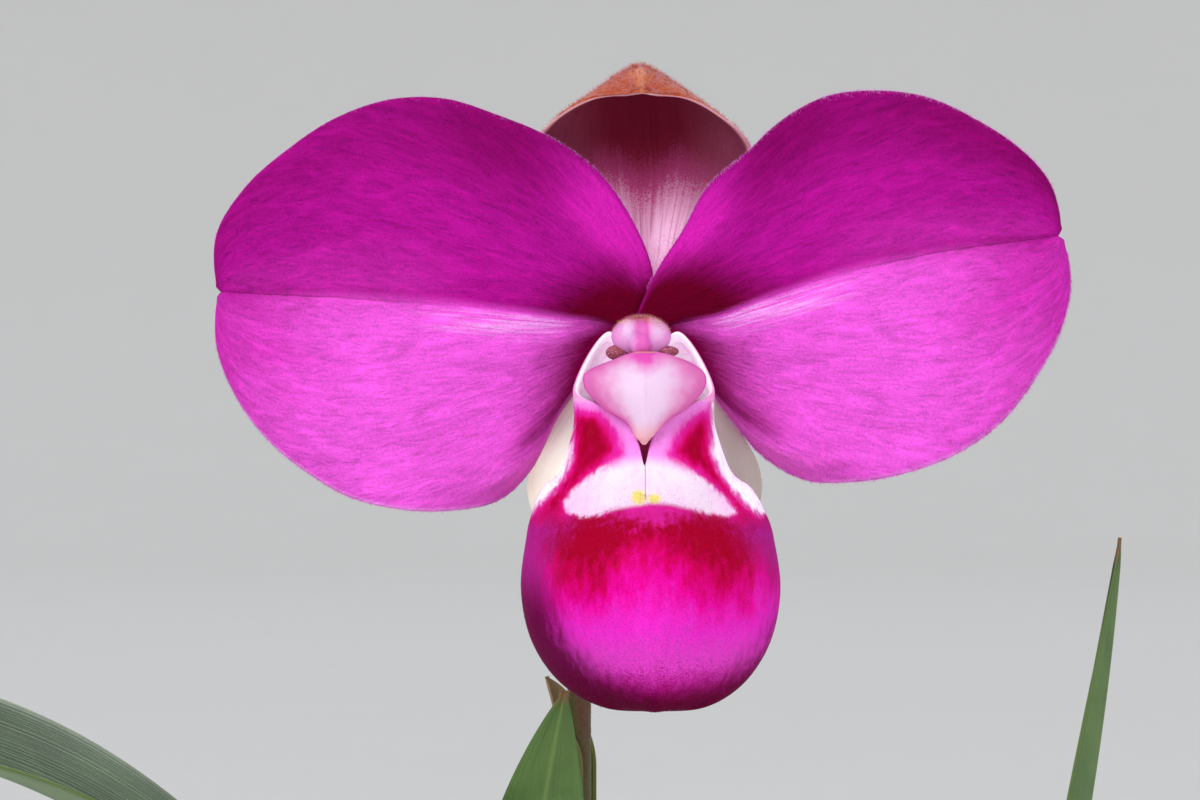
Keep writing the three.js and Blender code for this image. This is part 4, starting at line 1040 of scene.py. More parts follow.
def lip_place(look):
    """Where the lip's skin lies: u once round the mouth from the front, v from its edge to the bottom."""
    lines = [np.vstack([line, [[0.0, *LIP_POLE[1:]]]]) for line in LIP_LINES]
    middle = np.asarray(LIP_MIDDLE + LIP_POLE[:1], float)[:, None]
    round_mouth = [(line, 1) for line in lines] + [(line, -1) for line in lines[-2:0:-1]]
    total = len(round_mouth)
    roll = look.roll / MM

    def skin(turn, down):
        down = np.clip(down, 0, 1)
        centre = curve(middle, down)[:, 0]
        table = []
        for line, way in round_mouth:
            p = curve(line, down)
            table.append(np.stack([centre + way * p[:, 0], p[:, 1], p[:, 2]], 1))
        table = np.stack(table, 0)
        at = (turn % 1.0) * total
        i = np.floor(at).astype(int)
        k = (at - i)[:, None]
        n = np.arange(len(turn))
        a, b, c, d = (table[(i + shift) % total, n] for shift in (-1, 0, 1, 2))
        return between(a, b, c, d, k) + FLOWER

    def place(u, v):
        down = (v - LIP_EDGE) / (1 - LIP_EDGE)
        out = skin(u, down)
        fall = skin(u, down + 0.01) - skin(u, down - 0.01)
        swell = unit(np.cross(fall, skin(u + 0.003, down) - skin(u - 0.003, down)))
        sunk = smooth((down - 0.8) / 0.2)[:, None]
        swell = unit(swell * (1 - sunk) + np.array([0.0, 0.0, -1.0]) * sunk)
        out += swell * (look.swell / MM * smooth(down / 0.5))[:, None]
        edge = skin(u, np.zeros_like(u))
        below = skin(u, np.full_like(u, 0.02))
        ahead = skin(u + 0.002, np.zeros_like(u)) - skin(u - 0.002, np.zeros_like(u))
        drop = unit(below - edge)
        inward = unit(np.cross(ahead, drop))
        k = np.clip((LIP_EDGE - v) / LIP_EDGE, 0, 1)
        turn = np.clip(k / 0.6, 0, 1) * math.pi
        tail = np.clip((k - 0.6) / 0.4, 0, 1) * 1.6
        rolled = edge + inward * (roll * (1 - np.cos(turn)))[:, None]
        rolled += drop * (tail - roll * np.sin(turn))[:, None]
        return np.where((k > 0)[:, None], rolled, out)
    return place


def lip_finish(look):
    """Face of the lip: crimson top that melts into rose and pink, white patches, blotches."""
    f = Finish("lip_satin")
    x, _, z = f.parts(f.place())
    _, down, _ = f.parts(f.sheet())
    across = (x + 0.0013) * 1000
    wide = abs(across)
    low = (z - 0.4) * 1000
    streak = f.fibres(f.place(), (900.0, 500.0, 190.0), 3.0, 0.6, 0.5)
    mottle = f.fibres(f.place(), (420.0, 420.0, 190.0), 3.0, 0.6)
    pile = f.noise(f.place(), 3000.0, 2.0, 0.6)
    uneven = (streak - 0.5) * 11 + (mottle - 0.5) * 12
    grain = (pile - 0.5) * 9 + (mottle - 0.5) * 5
    sag = (wide.rise(3.0, 10.0) * wide.fall(14.0, 21.0) * 4.5 - wide.fall(0.0, 6.0)) * low.rise(-58.0, -46.0)
    upward = low.rise(-58.0, -48.0)
    level = low + sag + uneven * upward + grain * (upward * -1.0 + 1.0)
    # Crimson top is the pouch's own; pink lower middle partly painted highlight, maroon bottom partly
    # painted shade
    pouch = f.ramp((level + 72) / 40, [
        (0.1, look.maroon), (0.2, look.claret), (0.31, look.mallow), (0.48, look.pink), (0.65, look.rose),
        (0.77, look.cerise), (0.89, look.crimson)])
    # Painted highlight: a flush of pink along the bulge just below the white patches
    blush = (wide * 0.2 + abs(low + 33.0) + (streak - 0.5) * 8 + (mottle - 0.5) * 5).fall(0.6, 4.8)
    pouch = f.blend(blush * 0.75, pouch, look.flush)
    # Darker towards the pouch's outline, plum above and shade below: partly its own colour, partly painted
    # shade
    rim = ((across / 22.3) ** 2 + ((low + 48) / 20.5) ** 2) ** 0.5 + (streak - 0.5) * 0.3
    rim = rim - (low + 48) * 0.003 - across * low.fall(-52.0, -38.0) * 0.007 + (pile - 0.5) * 0.2
    edge_colour_and_shade = f.blend((low + uneven * 0.3).rise(-53.0, -40.0), look.shade, look.plum)
    pouch = f.blend(rim.rise(0.7, 1.04) * low.fall(-38.0, -33.0) * 0.95, pouch, edge_colour_and_shade)
    base = f.blend(f.attribute("lapel"), pouch, look.lilac)
    ragged = (streak - 0.5) * 0.9 + (mottle - 0.5) * 0.5
    flank = f.attribute("flank")
    flank = flank + ragged * flank.rise(0.0, 0.2) * flank.fall(0.8, 1.0)
    blotch = f.attribute("blotch")
    blotch = blotch + ragged * blotch.rise(0.0, 0.25) * 0.55
    lid = (low + (mottle - 0.5) * 4).rise(-37.0, -32.0)
    base = f.blend(blotch.rise(0.05, 0.45) * lid, base, look.flush)
    base = f.blend(blotch.rise(0.35, 0.85) * lid, base, look.cerise)
    base = f.blend(blotch.rise(0.65, 1.05) * lid, base, look.blotch)
    base = f.blend(flank.rise(0.1, 0.45), base, look.fringe)
    soft = f.blend(streak.rise(0.5, 0.7) * 0.35, look.flank, look.lilac)
    base = f.blend(flank.rise(0.3, 0.75), base, soft)
    fringe = f.attribute("fringe")
    base = f.blend((fringe + (streak - 0.5) * 0.8).rise(0.3, 0.9) * fringe * 0.8, base, look.fringe)
    white = f.attribute("patch")
    white = white + (streak - 0.5) * 1.3 * white.rise(0.0, 0.3) * white.fall(0.7, 1.0) * wide.rise(5.0, 9.0)
    tinted = f.blend(mottle.rise(0.4, 0.7) * 0.22 + wide.rise(8.0, 15.0) * 0.3, look.white, look.lilac)
    base = f.blend(white.rise(0.1, 0.8), base, tinted)
    arm = f.attribute("arm")
    base = f.blend(arm * 0.95, base, soft)
    base = f.blend(arm * (down.rise(0.032, 0.04) * down.fall(0.055, 0.08) * 0.75), base, look.fringe)
    base = f.blend((f.attribute("spot") + (streak - 0.5) * 0.4).rise(0.05, 1.0) * 0.95, base, look.yellow)
    # Painted shade along the groove of the seam, in plum
    seam = abs(x + 0.0022).fall(0.00002, 0.0001) * f.attribute("seam")
    base = f.blend(seam * 0.6, base, look.plum)
    flank = flank.rise(0.4, 0.8)
    pure = white.largest(flank).rise(0.2, 0.8) * -0.7 + 1.0
    # Painted glow on the white flanks, the arms and the lapels, lifting them out of their shade
    painted_glow = flank.largest(arm) * 0.24 + f.attribute("lapel") * 0.06
    # Granular velvet with painted glints, stronger on the lower pouch
    velvet_and_glints = (pile - 0.5) * (low.fall(-52.0, -40.0) * 0.5 + 0.5)
    base = f.shade(base, ((streak - 0.5) * 0.3 + velvet_and_glints) * pure + 1.0)
    relief = f.bump(streak * 0.5 + pile * 0.35 - seam * 2, 0.0003, 0.6)
    return f.done(base, 0.6, relief, painted_glow, soft=0.1, Subsurface_Radius=(1.0, 0.25, 0.6),
                  Specular_IOR_Level=0.025)


def lip_inside_finish(look):
    """Inside of the pouch: dark at its mouth, partly as painted shade, paler and flecked further down."""
    f = Finish("lip_inside")
    _, _, z = f.parts(f.place())
    _, down, _ = f.parts(f.sheet())
    fleck = f.noise(f.place(), 700.0, 2.0, 0.6)
    base = f.blend(fleck.rise(0.56, 0.66) * 0.7, look.inside, look.blotch)
    # Darker gullet near the mouth: partly its own colour, partly painted shade of the pouch's depth
    base = f.blend((z + (fleck - 0.5) * 0.004).rise(0.352, 0.366), base, look.gullet)
    # Hairy recesses beside the column, their brown partly painted shade
    base = f.blend((z + (fleck - 0.5) * 0.01).rise(0.381, 0.388), base, look.felt_and_shade)
    arm = f.attribute("arm") * (down + (fleck - 0.5) * 0.04).fall(0.16, 0.26)
    base = f.blend(arm, base, f.blend(fleck.rise(0.4, 0.7) * 0.4, look.flank, look.lilac))
    # Painted glow on the arms, lifting them out of the shade inside the mouth
    return f.done(base, 0.55, f.bump(fleck, 0.0003, 0.6), arm * 0.25, Specular_IOR_Level=0.1)


class BuildLip(bpy.types.Operator):
    """Builds the pouched lip with its rolled edge and its hairs"""
    bl_idname = "orchid.build_lip"
    bl_label = "Lip"

    def execute(self, context):
        look = context.scene.orchid_lip
        place = lip_place(look)
        mesh, _, _ = grid("lip", 220, 150, place)
        bm = bmesh.new()
        bm.from_mesh(mesh)
        bmesh.ops.remove_doubles(bm, verts=bm.verts, dist=2e-6)
        bm.to_mesh(mesh)
        bm.free()
        points = corners(mesh) / MM
        centre = FLOWER + LIP_CENTRE
        mesh.update()
        normals = np.empty(len(mesh.vertices) * 3)
        mesh.vertices.foreach_get("normal", normals)
        normals = normals.reshape(-1, 3)
        if np.sum(normals * (points - centre)) < 0:
            mesh.flip_normals()
            normals = -normals
        x, z = seen(points)
        front = smooth((0.35 - normals[:, 1]) / 0.3)
        behind = smooth((points[:, 1] - FLOWER[1] + 4.0) / 5.0)
        whole = np.minimum(patch(WHITE_PATCH, x, z, 1.1), patch(WHITE_FADE, x, z, 3.0))
        mark(mesh, "patch", whole * front)
        mark(mesh, "fringe", patch(WHITE_PATCH, x, z, 1.7) * smooth((-25.0 - z) / 6.0) * front)
        both = np.maximum(patch(BLOTCH_LEFT, x, z, 3.2), patch(BLOTCH_RIGHT, x, z, 3.2))
        mark(mesh, "blotch", both * front * smooth((-12.6 - z) / 6.5))
        spots = np.maximum(smooth(1.3 - np.hypot((x + 1.1) * 0.8, (z + 31.9) * 0.8) / 1.3),
                           smooth(1.2 - np.hypot((x - 1.7) * 0.75, z + 32.2) / 1.2))
        mark(mesh, "spot", spots * front)
        mark(mesh, "seam", smooth((z + 32.6) / 0.8) * smooth((-25.6 - z) / 0.6) * front)
        sides = np.maximum(patch(FLANK_LEFT, x, z, 1.7), patch(FLANK_RIGHT, x, z, 1.7)) * (1 - behind)
        mark(mesh, "flank", np.maximum(sides, behind * smooth((z + 38.0) / 6.0)))
        mark(mesh, "lapel", smooth((z + 31.0) / 4.0) * (1 - behind))
        mark(mesh, "arm", smooth((z + 15.2) / 1.6))
        made = piece("lip", mesh, "lip", [lip_finish(look), lip_inside_finish(look)], "lip")
        solid = made.modifiers.new("wall", "SOLIDIFY")
        solid.thickness = look.wall
        solid.offset = -1.0
        solid.material_offset = 1
        random = np.random.default_rng(5)
        number = look.hairs
        hu = random.uniform(0.0, 1.0, number)
        hv = 1 - np.sqrt(random.uniform(0.002, 0.56, number))
        root, out = roots_on(place, hu, hv, 0.0)
        out = np.where((np.sum(out * (root - centre), axis=1) < 0)[:, None], -out, out)
        hair = plain_hair_finish("lip_hair", look.plum, look.pink)
        hairs("lip_hairs", root, out, 0.35, 0.025, 5, hair, "lip")
        return {"FINISHED"}


def staminode_finish(look):
    """Shield over the column: near white, rosy at its margins, peach at its tip."""
    f = Finish("staminode_wax")
    u, v, _ = f.parts(f.sheet())
    side = abs(v * 2 - 1)
    tone = f.noise(f.place(), 500.0, 2.0, 0.5)
    pile = f.noise(f.place(), 3500.0, 2.0, 0.6)
    base = f.blend((side + (tone - 0.5) * 0.3 - u * 0.2).rise(0.12, 0.8) * 0.9, look.pale, look.margin)
    base = f.blend((u + (tone - 0.5) * 0.1).rise(0.72, 0.95), base, look.tip)
    base = f.blend((u * 1.1 + side * 0.45 + (tone - 0.5) * 0.2).fall(0.2, 0.5) * 0.95, base, look.patch)
    base = f.blend(side.rise(0.93, 1.0) * u.rise(0.15, 0.4) * u.fall(0.7, 0.95) * 0.6, base, look.patch)
    base = f.blend((u + (tone - 0.5) * 0.06).fall(0.01, 0.05) * side.fall(0.6, 0.9) * 0.8, base, look.gold)
    # Painted shade along the middle crease
    crease = side.fall(0.0, 0.04) * u.rise(0.35, 0.5) * u.fall(0.6, 0.8)
    base = f.shade(base, (pile - 0.5) * 0.12 - crease * 0.07 + 1.0)
    return f.done(base, 0.45, f.bump(pile, 0.00015, 0.5), soft=0.2,
                  Subsurface_Radius=(1.0, 0.5, 0.7), Coat_Weight=0.1, Coat_Roughness=0.3)


def column_finish(look):
    """Column: pale shoulders with painted highlights, and a purple stripe between them."""
    f = Finish("column_wax")
    x, _, z = f.parts(f.place())
    tone = f.noise(f.place(), 600.0, 2.0, 0.5)
    stripe = (abs(x + 0.0026) * 1000 + (tone - 0.5) * 0.8).fall(0.6, 2.4)
    base = f.blend(stripe * 0.75, look.column, look.stripe)
    base = f.blend((abs(x + 0.0018) * 1000).fall(0.1, 0.6) * 0.5, base, look.stripe)
    # Painted highlights on the two shoulders, in the staminode's pale colour
    painted_light = (abs(abs(x + 0.0027) - 0.0027) * 1000 + (tone - 0.5)).fall(0.3, 1.9) * z.rise(0.395, 0.398)
    base = f.blend(painted_light * 0.6, base, look.pale)
    base = f.blend(tone.rise(0.55, 0.75) * 0.3, base, look.stripe)
    base = f.blend((z * 1000 + (tone - 0.5) * 2).rise(398.6, 400.8) * 0.5, base, look.gold)
    return f.done(base, 0.45, f.bump(tone, 0.0002, 0.5), soft=0.2, Coat_Weight=0.1,
                  Coat_Roughness=0.3)


def pollen_finish(look):
    """Granular pollen masses."""
    f = Finish("pollen")
    grain = f.noise(f.place(), 2600.0, 2.0, 0.6)
    # Brown partly painted shade of the recesses the pollen masses sit in
    base = f.blend(grain.rise(0.45, 0.7) * 0.55, look.anther, look.column)
    return f.done(base, 0.7, f.bump(grain, 0.0003, 1.0))


class BuildCentre(bpy.types.Operator):
    """Builds the column with its pollen masses, and the staminode over it"""
    bl_idname = "orchid.build_centre"
    bl_label = "Column and staminode"

    def execute(self, context):
        look = context.scene.orchid_centre

        def shield(u, v):
            side = 2 * v - 1
            out = blade(STAMINODE, u, v, [1, 1.9, 1], 0.0)
            out[:, 1] -= 0.35 * np.exp(-(side / 0.25) ** 2) * np.sin(math.pi * u)
            out[:, 2] += 0.9 * side ** 2 * smooth((u - 0.86) / 0.14)
            return out
        mesh, u, v = grid("staminode", 70, 70, shield)
        face(mesh, (0, -1, 0))
        made = piece("staminode", mesh, "staminode", [staminode_finish(look)], "staminode")
        edge = inset(u, v, 0.2, 0.1)
        thicken(made, look.thickness, edge, 0.3)

        def body(u, v):
            row = curve(COLUMN, u)
            a = 2 * math.pi * v
            notch = 1 - 0.2 * np.exp(-((a - math.pi / 2) / 0.38) ** 2)
            return FLOWER + np.stack([-1.0 + row[:, 1] * notch * np.cos(a), row[:, 0],
                                      row[:, 3] + row[:, 2] * notch * np.sin(a)], 1)
        mesh = tube("column", 50, 72, body)
        bm = bmesh.new()
        bm.from_mesh(mesh)
        old = set(bm.faces)
        for row in LUMPS:
            spot, radii, index = row
            lump = bmesh.ops.create_icosphere(bm, subdivisions=5, radius=MM)
            if row is DOME:
                for vert in lump["verts"]:
                    across = vert.co.x / MM + 0.06
                    vert.co *= 1 - 0.12 * math.exp(-(across / 0.26) ** 2)
            bmesh.ops.scale(bm, vec=radii, verts=lump["verts"])
            bmesh.ops.translate(bm, vec=(FLOWER + spot) * MM, verts=lump["verts"])
            for shape in set(bm.faces) - old:
                shape.material_index = index
                old.add(shape)
        bm.to_mesh(mesh)
        bm.free()
        piece("column", mesh, "column", [column_finish(look), pollen_finish(look)], "column")
        random = np.random.default_rng(11)
        ways = unit(random.normal(0, 1, (look.hairs, 3)) * [1.0, 0.6, 0.5] + [0.0, -0.3, 1.1])
        hair = plain_hair_finish("column_hair", look.gold, look.margin)
        root = FLOWER + DOME[0] + ways * DOME[1] * 0.96
        hairs("column_hairs", root, ways, 0.8, 0.025, 11, hair, "column")
        return {"FINISHED"}


def keel_line(shape, steps):
    """Places along a keel: length, share of the open blade, point, inward way, sideways way."""
    s = np.linspace(0, shape["length"], steps + 1)
    k = np.clip((s - shape["sheath"]) / (shape["length"] - shape["sheath"]), 0, 1)
    lean = np.radians(shape["lean"] * smooth((s - shape["sheath"]) / shape["rise"])
                      + (shape["end"] - shape["lean"]) * k ** 1.5)
    way = math.atan2(shape["dir"][1], shape["dir"][0]) + np.radians(shape["turn"]) * smooth(k)
    out = np.stack([np.cos(way), np.sin(way), np.zeros_like(way)], 1)
    up = np.array([[0.0, 0.0, 1.0]])
    t = up * np.cos(lean)[:, None] + out * np.sin(lean)[:, None]
    n = -out * np.cos(lean)[:, None] + up * np.sin(lean)[:, None]
    twist = (np.radians(shape["twist"]) * smooth(k / 0.6))[:, None]
    n = n * np.cos(twist) + np.cross(t, n) * np.sin(twist)
    b = np.cross(t, n)
    steps_along = np.vstack([np.zeros((1, 3)), np.cumsum(t[:-1] * (s[1] - s[0]), axis=0)])
    return s, k, np.asarray(shape["start"]) + steps_along, n, b


def leaf_place(shape, steps):
    """Where a folded blade's skin lies: u along it, v across it."""
    s, k, p, n, b = keel_line(shape, steps)

    def place(u, v):
        at = np.minimum(steps - 1e-6, u * steps)
        i = at.astype(int)
        f = at - i
        share = k[i] + (k[i + 1] - k[i]) * f
        above = s[i] + (s[i + 1] - s[i]) * f - shape["sheath"]
        f = f[:, None]
        middle = p[i] + (p[i + 1] - p[i]) * f
        inward = unit(n[i] + (n[i + 1] - n[i]) * f)
        sideways = unit(b[i] + (b[i + 1] - b[i]) * f)
        opened = smooth(above / shape["rise"])
        taper = np.where(share < 0.6, 1.0,
                         np.maximum(0, 1 - (np.clip(share - 0.6, 0, 1) / 0.4) ** 1.7) ** 0.85)
        width = shape["sheathHalf"] + (shape["half"] - shape["sheathHalf"]) * opened
        wide = np.maximum(width * taper, 1.0)
        side = 2 * v - 1
        ruffle = shape["wave"] * np.sin(9 * share + 2.2 * side + shape["keel"]) * side ** 2 * opened
        a = np.abs(side) * wide
        angle = np.radians(40 + 28 * opened)
        closed_spread = shape["gap"] * (1 - np.exp(-a / shape["round"]))
        reach = a + (a * np.cos(angle) - a) * opened
        spread = closed_spread + (a * np.sin(angle) - closed_spread) * opened
        return middle + inward * (reach + ruffle)[:, None] + sideways * (spread * np.sign(side))[:, None]
    return place


def leaf_finish(look):
    """Upper side of a leaf: leathery green with fine lengthwise veins."""
    f = Finish("leaf_upper")
    u, v, _ = f.parts(f.sheet())
    side = abs(v * 2 - 1)
    veins = f.fibres(f.sheet(), (1.6, 70.0, 1.0), 2.0, 0.5)
    tone = f.noise(f.place(), 60.0, 3.0, 0.6)
    fine = f.noise(f.place(), 900.0, 2.0, 0.6)
    base = f.blend(tone.rise(0.35, 0.7), look.upper, look.deep)
    base = f.blend(veins.rise(0.5, 0.8) * 0.12, base, look.rib)
    base = f.blend(side.fall(0.0, 0.05) * 0.5, base, look.rib)
    base = f.blend(side.rise(0.965, 1.0) * 0.5, base, look.rib)
    base = f.blend((u + (tone - 0.5) * 0.1).fall(0.03, 0.2) * 0.85, base, look.base)
    base = f.blend((u + side * 0.01 + (fine - 0.5) * 0.01).rise(0.985, 0.998), base, look.tan)
    base = f.shade(base, (fine - 0.5) * 0.2 + 1.0)
    rough = (tone - 0.5) * 0.2 + 0.42
    relief = f.bump(veins, 0.0003, 0.6)
    relief = f.bump(fine, 0.0001, 0.5, relief)
    return f.done(base, rough, relief, soft=0.05, Coat_Weight=0.12, Coat_Roughness=0.35)


def leaf_under_finish(look):
    """Paler underside of a leaf with its keel."""
    f = Finish("leaf_under")
    u, v, _ = f.parts(f.sheet())
    side = abs(v * 2 - 1)
    veins = f.fibres(f.sheet(), (1.6, 60.0, 1.0), 2.0, 0.5)
    tone = f.noise(f.place(), 70.0, 3.0, 0.6)
    base = f.blend(tone.rise(0.4, 0.7) * 0.5, look.under, look.upper)
    base = f.blend(veins.rise(0.5, 0.75) * 0.25, base, look.rib)
    base = f.blend(side.fall(0.0, 0.06) * 0.6, base, look.rib)
    base = f.blend((u + (tone - 0.5) * 0.1).fall(0.03, 0.22) * 0.85, base, look.base)
    base = f.blend(u.rise(0.985, 0.998), base, look.tan)
    return f.done(base, 0.5, f.bump(veins, 0.0005, 0.7), Coat_Weight=0.06, Coat_Roughness=0.4)


class BuildLeaves(bpy.types.Operator):
    """Builds the leaves of both fans"""
    bl_idname = "orchid.build_leaves"
    bl_label = "Leaves"

    def execute(self, context):
        look = context.scene.orchid_leaves
        finishes = [leaf_finish(look), leaf_under_finish(look)]
        for index, row in enumerate(LEAVES):
            fan, side, keel, gap, sheath, length, half, lean, end, turn, twist = row
            way = (math.cos(FAN_ANGLE) * side, math.sin(FAN_ANGLE) * side)
            shape = {
                "dir": way, "start": (fan[0] + way[0] * keel, fan[1] + way[1] * keel, BASE_Z), "keel": keel,
                "gap": gap, "sheath": sheath, "length": length, "half": half, "lean": lean, "end": end,
                "turn": turn, "twist": twist, "sheathHalf": keel + 1, "round": 3.0, "rise": LEAF_RISE,
                "wave": 0.7,
            }
            name = f"leaf_{index + 1}"
            place = leaf_place(shape, 80)
            mesh, u, v = grid(name, 150, 36, place)
            low, middle, high = place(np.full(3, 0.5), np.array([0.1, 0.5, 0.9]))
            face(mesh, (low + high) / 2 - middle)
            made = piece(name, mesh, "leaf", finishes, name)
            edge = np.minimum(smooth((1 - np.abs(2 * v - 1)) / 0.12), smooth((1 - u) / 0.02))
            thicken(made, look.thickness, edge, 0.4, 1)
        return {"FINISHED"}


def stem_place(u, v):
    """Where the stem's skin lies, with a slight swelling under each sheath."""
    p = curve(STEM_LINE, u)
    z = p[:, 2]
    swell = sum(0.35 * np.exp(-((z - row[1] - 1.5) / 1.6) ** 2) for row in BRACTS)
    r = STEM_R - 0.4 * u + swell * 0.6
    a = 2 * math.pi * v
    return np.stack([p[:, 0] + r * np.cos(a), p[:, 1] + r * np.sin(a), z], 1)


def ovary_place(u, v):
    """Where the ovary's ribbed skin lies."""
    p = curve(OVARY_LINE, u)
    t = unit(curve(OVARY_LINE, np.minimum(1, u + 0.01)) - curve(OVARY_LINE, np.maximum(0, u - 0.01)))
    side = unit(np.array([[1.0, 0.0, 0.0]]) - t * t[:, :1])
    up = np.cross(side, t)
    r = curve(OVARY_R, u)[:, 0]
    a = 2 * math.pi * v
    rib = r * (1 + 0.1 * np.abs(np.cos(3 * a)) - 0.02)
    return p + side * (rib * np.cos(a))[:, None] + up * (rib * np.sin(a))[:, None]


def stem_finish(look):
    """Dark green stem with a brown flush."""
    f = Finish("stem_green")
    tone = f.fibres(f.place(), (500.0, 500.0, 60.0), 3.0, 0.6)
    fine = f.noise(f.place(), 1800.0, 2.0, 0.6)
    base = f.blend(tone.rise(0.4, 0.65), look.stem, look.flush)
    base = f.shade(base, (fine - 0.5) * 0.4 + 1.0)
    return f.done(base, 0.6, f.bump(fine + tone, 0.0003, 0.7), Sheen_Weight=0.2, Specular_IOR_Level=0.35)


def ovary_finish(look):
    """Ribbed and felted ovary, brown in its grooves."""
    f = Finish("ovary_felt")
    _, v, _ = f.parts(f.sheet())
    rib = abs(f.math("COSINE", v * (6 * math.pi)))
    fine = f.noise(f.place(), 1800.0, 2.0, 0.6)
    base = f.blend((rib + (fine - 0.5) * 0.4).fall(0.1, 0.7), look.ovary, look.groove)
    base = f.shade(base, (fine - 0.5) * 0.45 + 1.0)
    return f.done(base, 0.7, f.bump(fine, 0.0003, 0.8), Sheen_Weight=0.3, Specular_IOR_Level=0.3)


def sheath_finish(look):
    """Green sheath that dries towards its tip."""
    f = Finish("sheath_green")
    u, _, _ = f.parts(f.sheet())
    veins = f.fibres(f.sheet(), (1.5, 34.0, 1.0), 2.0, 0.5)
    fine = f.noise(f.place(), 1500.0, 2.0, 0.6)
    base = f.blend((u + (veins - 0.5) * 0.2).rise(0.7, 1.0), look.sheath, look.sheath_tip)
    base = f.blend(fine.rise(0.6, 0.72) * 0.5, base, look.flush)
    base = f.shade(base, (veins - 0.5) * 0.4 + 1.0)
    return f.done(base, 0.6, f.bump(veins, 0.0004, 0.8), Sheen_Weight=0.2, Specular_IOR_Level=0.35)


def clasping(sleeve):
    """The place of a sheath whose base draws in to the stem."""
    levels = np.linspace(0, 1, 60)
    line = curve(STEM_LINE, levels)

    def place(u, v):
        out = sleeve(u, v)
        axis = np.stack([np.interp(out[:, 2], line[:, 2], line[:, k]) for k in (0, 1)], 1)
        tight = 1 - 0.3 * (1 - smooth(u / 0.2)) ** 2
        out[:, :2] = axis + (out[:, :2] - axis) * tight[:, None]
        return out
    return place


class BuildStalk(bpy.types.Operator):
    """Builds the flower stem, its sheaths and bract, and the ovary, with their hairs"""
    bl_idname = "orchid.build_stalk"
    bl_label = "Stem, sheaths and ovary"

    def execute(self, context):
        look = context.scene.orchid_stalk
        stem = tube("flower_stem", 180, 24, stem_place)
        piece("flower_stem", stem, "stem", [stem_finish(look)], "flower_stem")
        ovary = tube("ovary", 80, 72, ovary_place)
        piece("ovary", ovary, "ovary", [ovary_finish(look)], "ovary")
        finish = sheath_finish(look)
        for name, z, way, length, half, lean, end in BRACTS:
            u = np.array([(z - BASE_Z) / (STEM_TOP - BASE_Z)])
            x, y = curve(STEM_LINE, u)[0, :2]
            way = (math.cos(math.radians(way)), math.sin(math.radians(way)))
            shape = {
                "dir": way, "start": (x + way[0] * SHEATH_KEEL, y + way[1] * SHEATH_KEEL, z),
                "keel": SHEATH_KEEL, "gap": SHEATH_GAP, "sheath": length * 0.55, "length": length,
                "half": half, "lean": lean, "end": end, "turn": 0, "twist": 0, "sheathHalf": half,
                "round": 1.0, "rise": length * 0.3, "wave": 0.0,
            }
            mesh, u, v = grid(name, 90, 48, clasping(leaf_place(shape, 60)))
            made = piece(name, mesh, "sheath", [finish], name)
            edge = inset(u, v, 0.1, 0.05)
            thicken(made, look.sheath_thickness, edge, 0.4)
        random = np.random.default_rng(41)
        number = look.hairs
        hair = plain_hair_finish("stem_hair", look.groove, look.ovary)
        for slot, place, line, start, share, seed in (("stem", stem_place, STEM_LINE, 0.1, 0.62, 42),
                                                      ("ovary", ovary_place, OVARY_LINE, 0.02, 0.38, 43)):
            some = int(number * share)
            hu = random.uniform(start, 0.99, some)
            hv = random.uniform(0.0, 1.0, some)
            root, _ = roots_on(place, hu, hv, 0.0)
            out = unit(root - curve(line, hu))
            hairs(slot + "_hairs", root, out, look.hair_length / MM, 0.035, seed, hair, slot)
        return {"FINISHED"}


def clay_finish(look):
    """Fired clay: damp shade low down, chalky bloom on the rim, fine pores."""
    f = Finish("terracotta")
    _, _, z = f.parts(f.place())
    cloud = f.noise(f.place(), 22.0, 4.0, 0.6)
    turning = f.fibres(f.place(), (8.0, 8.0, 420.0), 2.0, 0.5)
    pores = f.noise(f.place(), 900.0, 3.0, 0.65)
    specks = f.cells(f.place(), 700.0)
    base = f.blend((cloud + z * -3.0).rise(0.1, 0.55) * 0.75, look.clay, look.shade)
    rim = (z + (cloud - 0.5) * 0.05).rise(0.1, 0.118) + (z + (cloud - 0.5) * 0.03).fall(0.004, 0.016)
    base = f.blend((rim + (cloud - 0.42) * 1.6) * 0.28, base, look.bloom)
    base = f.shade(base, (pores - 0.5) * 0.3 + (turning - 0.5) * 0.14 + 1.0)
    relief = f.bump(turning, 0.0006, 0.5)
    relief = f.bump(pores + specks.fall(0.0, 0.25) * -0.6, 0.0004, 0.7, relief)
    return f.done(base, (pores - 0.5) * 0.2 + 0.86, relief, Specular_IOR_Level=0.25)


def bark_finish(look, name):
    """Fibrous bark, some chips darker than others."""
    f = Finish(name)
    tone = f.noise(f.place(), 130.0, 3.0, 0.6)
    fibre = f.fibres(f.place(), (300.0, 900.0, 900.0), 3.0, 0.6)
    shade = f.attribute("shade") if name == "bark_chips" else tone
    base = f.blend((shade + (tone - 0.5) * 0.6).rise(0.2, 0.9), look.dark_bark, look.bark)
    base = f.shade(base, (fibre - 0.5) * 0.8 + 1.0)
    return f.done(base, 0.85, f.bump(fibre + tone, 0.001, 0.9), Specular_IOR_Level=0.25)


def pumice_finish(look):
    """Pale porous grains."""
    f = Finish("pumice")
    pores = f.noise(f.place(), 900.0, 3.0, 0.65)
    base = f.shade(look.pumice, (pores - 0.5) * 0.6 + 1.0)
    return f.done(base, 0.9, f.bump(pores, 0.0006, 1.0), Specular_IOR_Level=0.2)


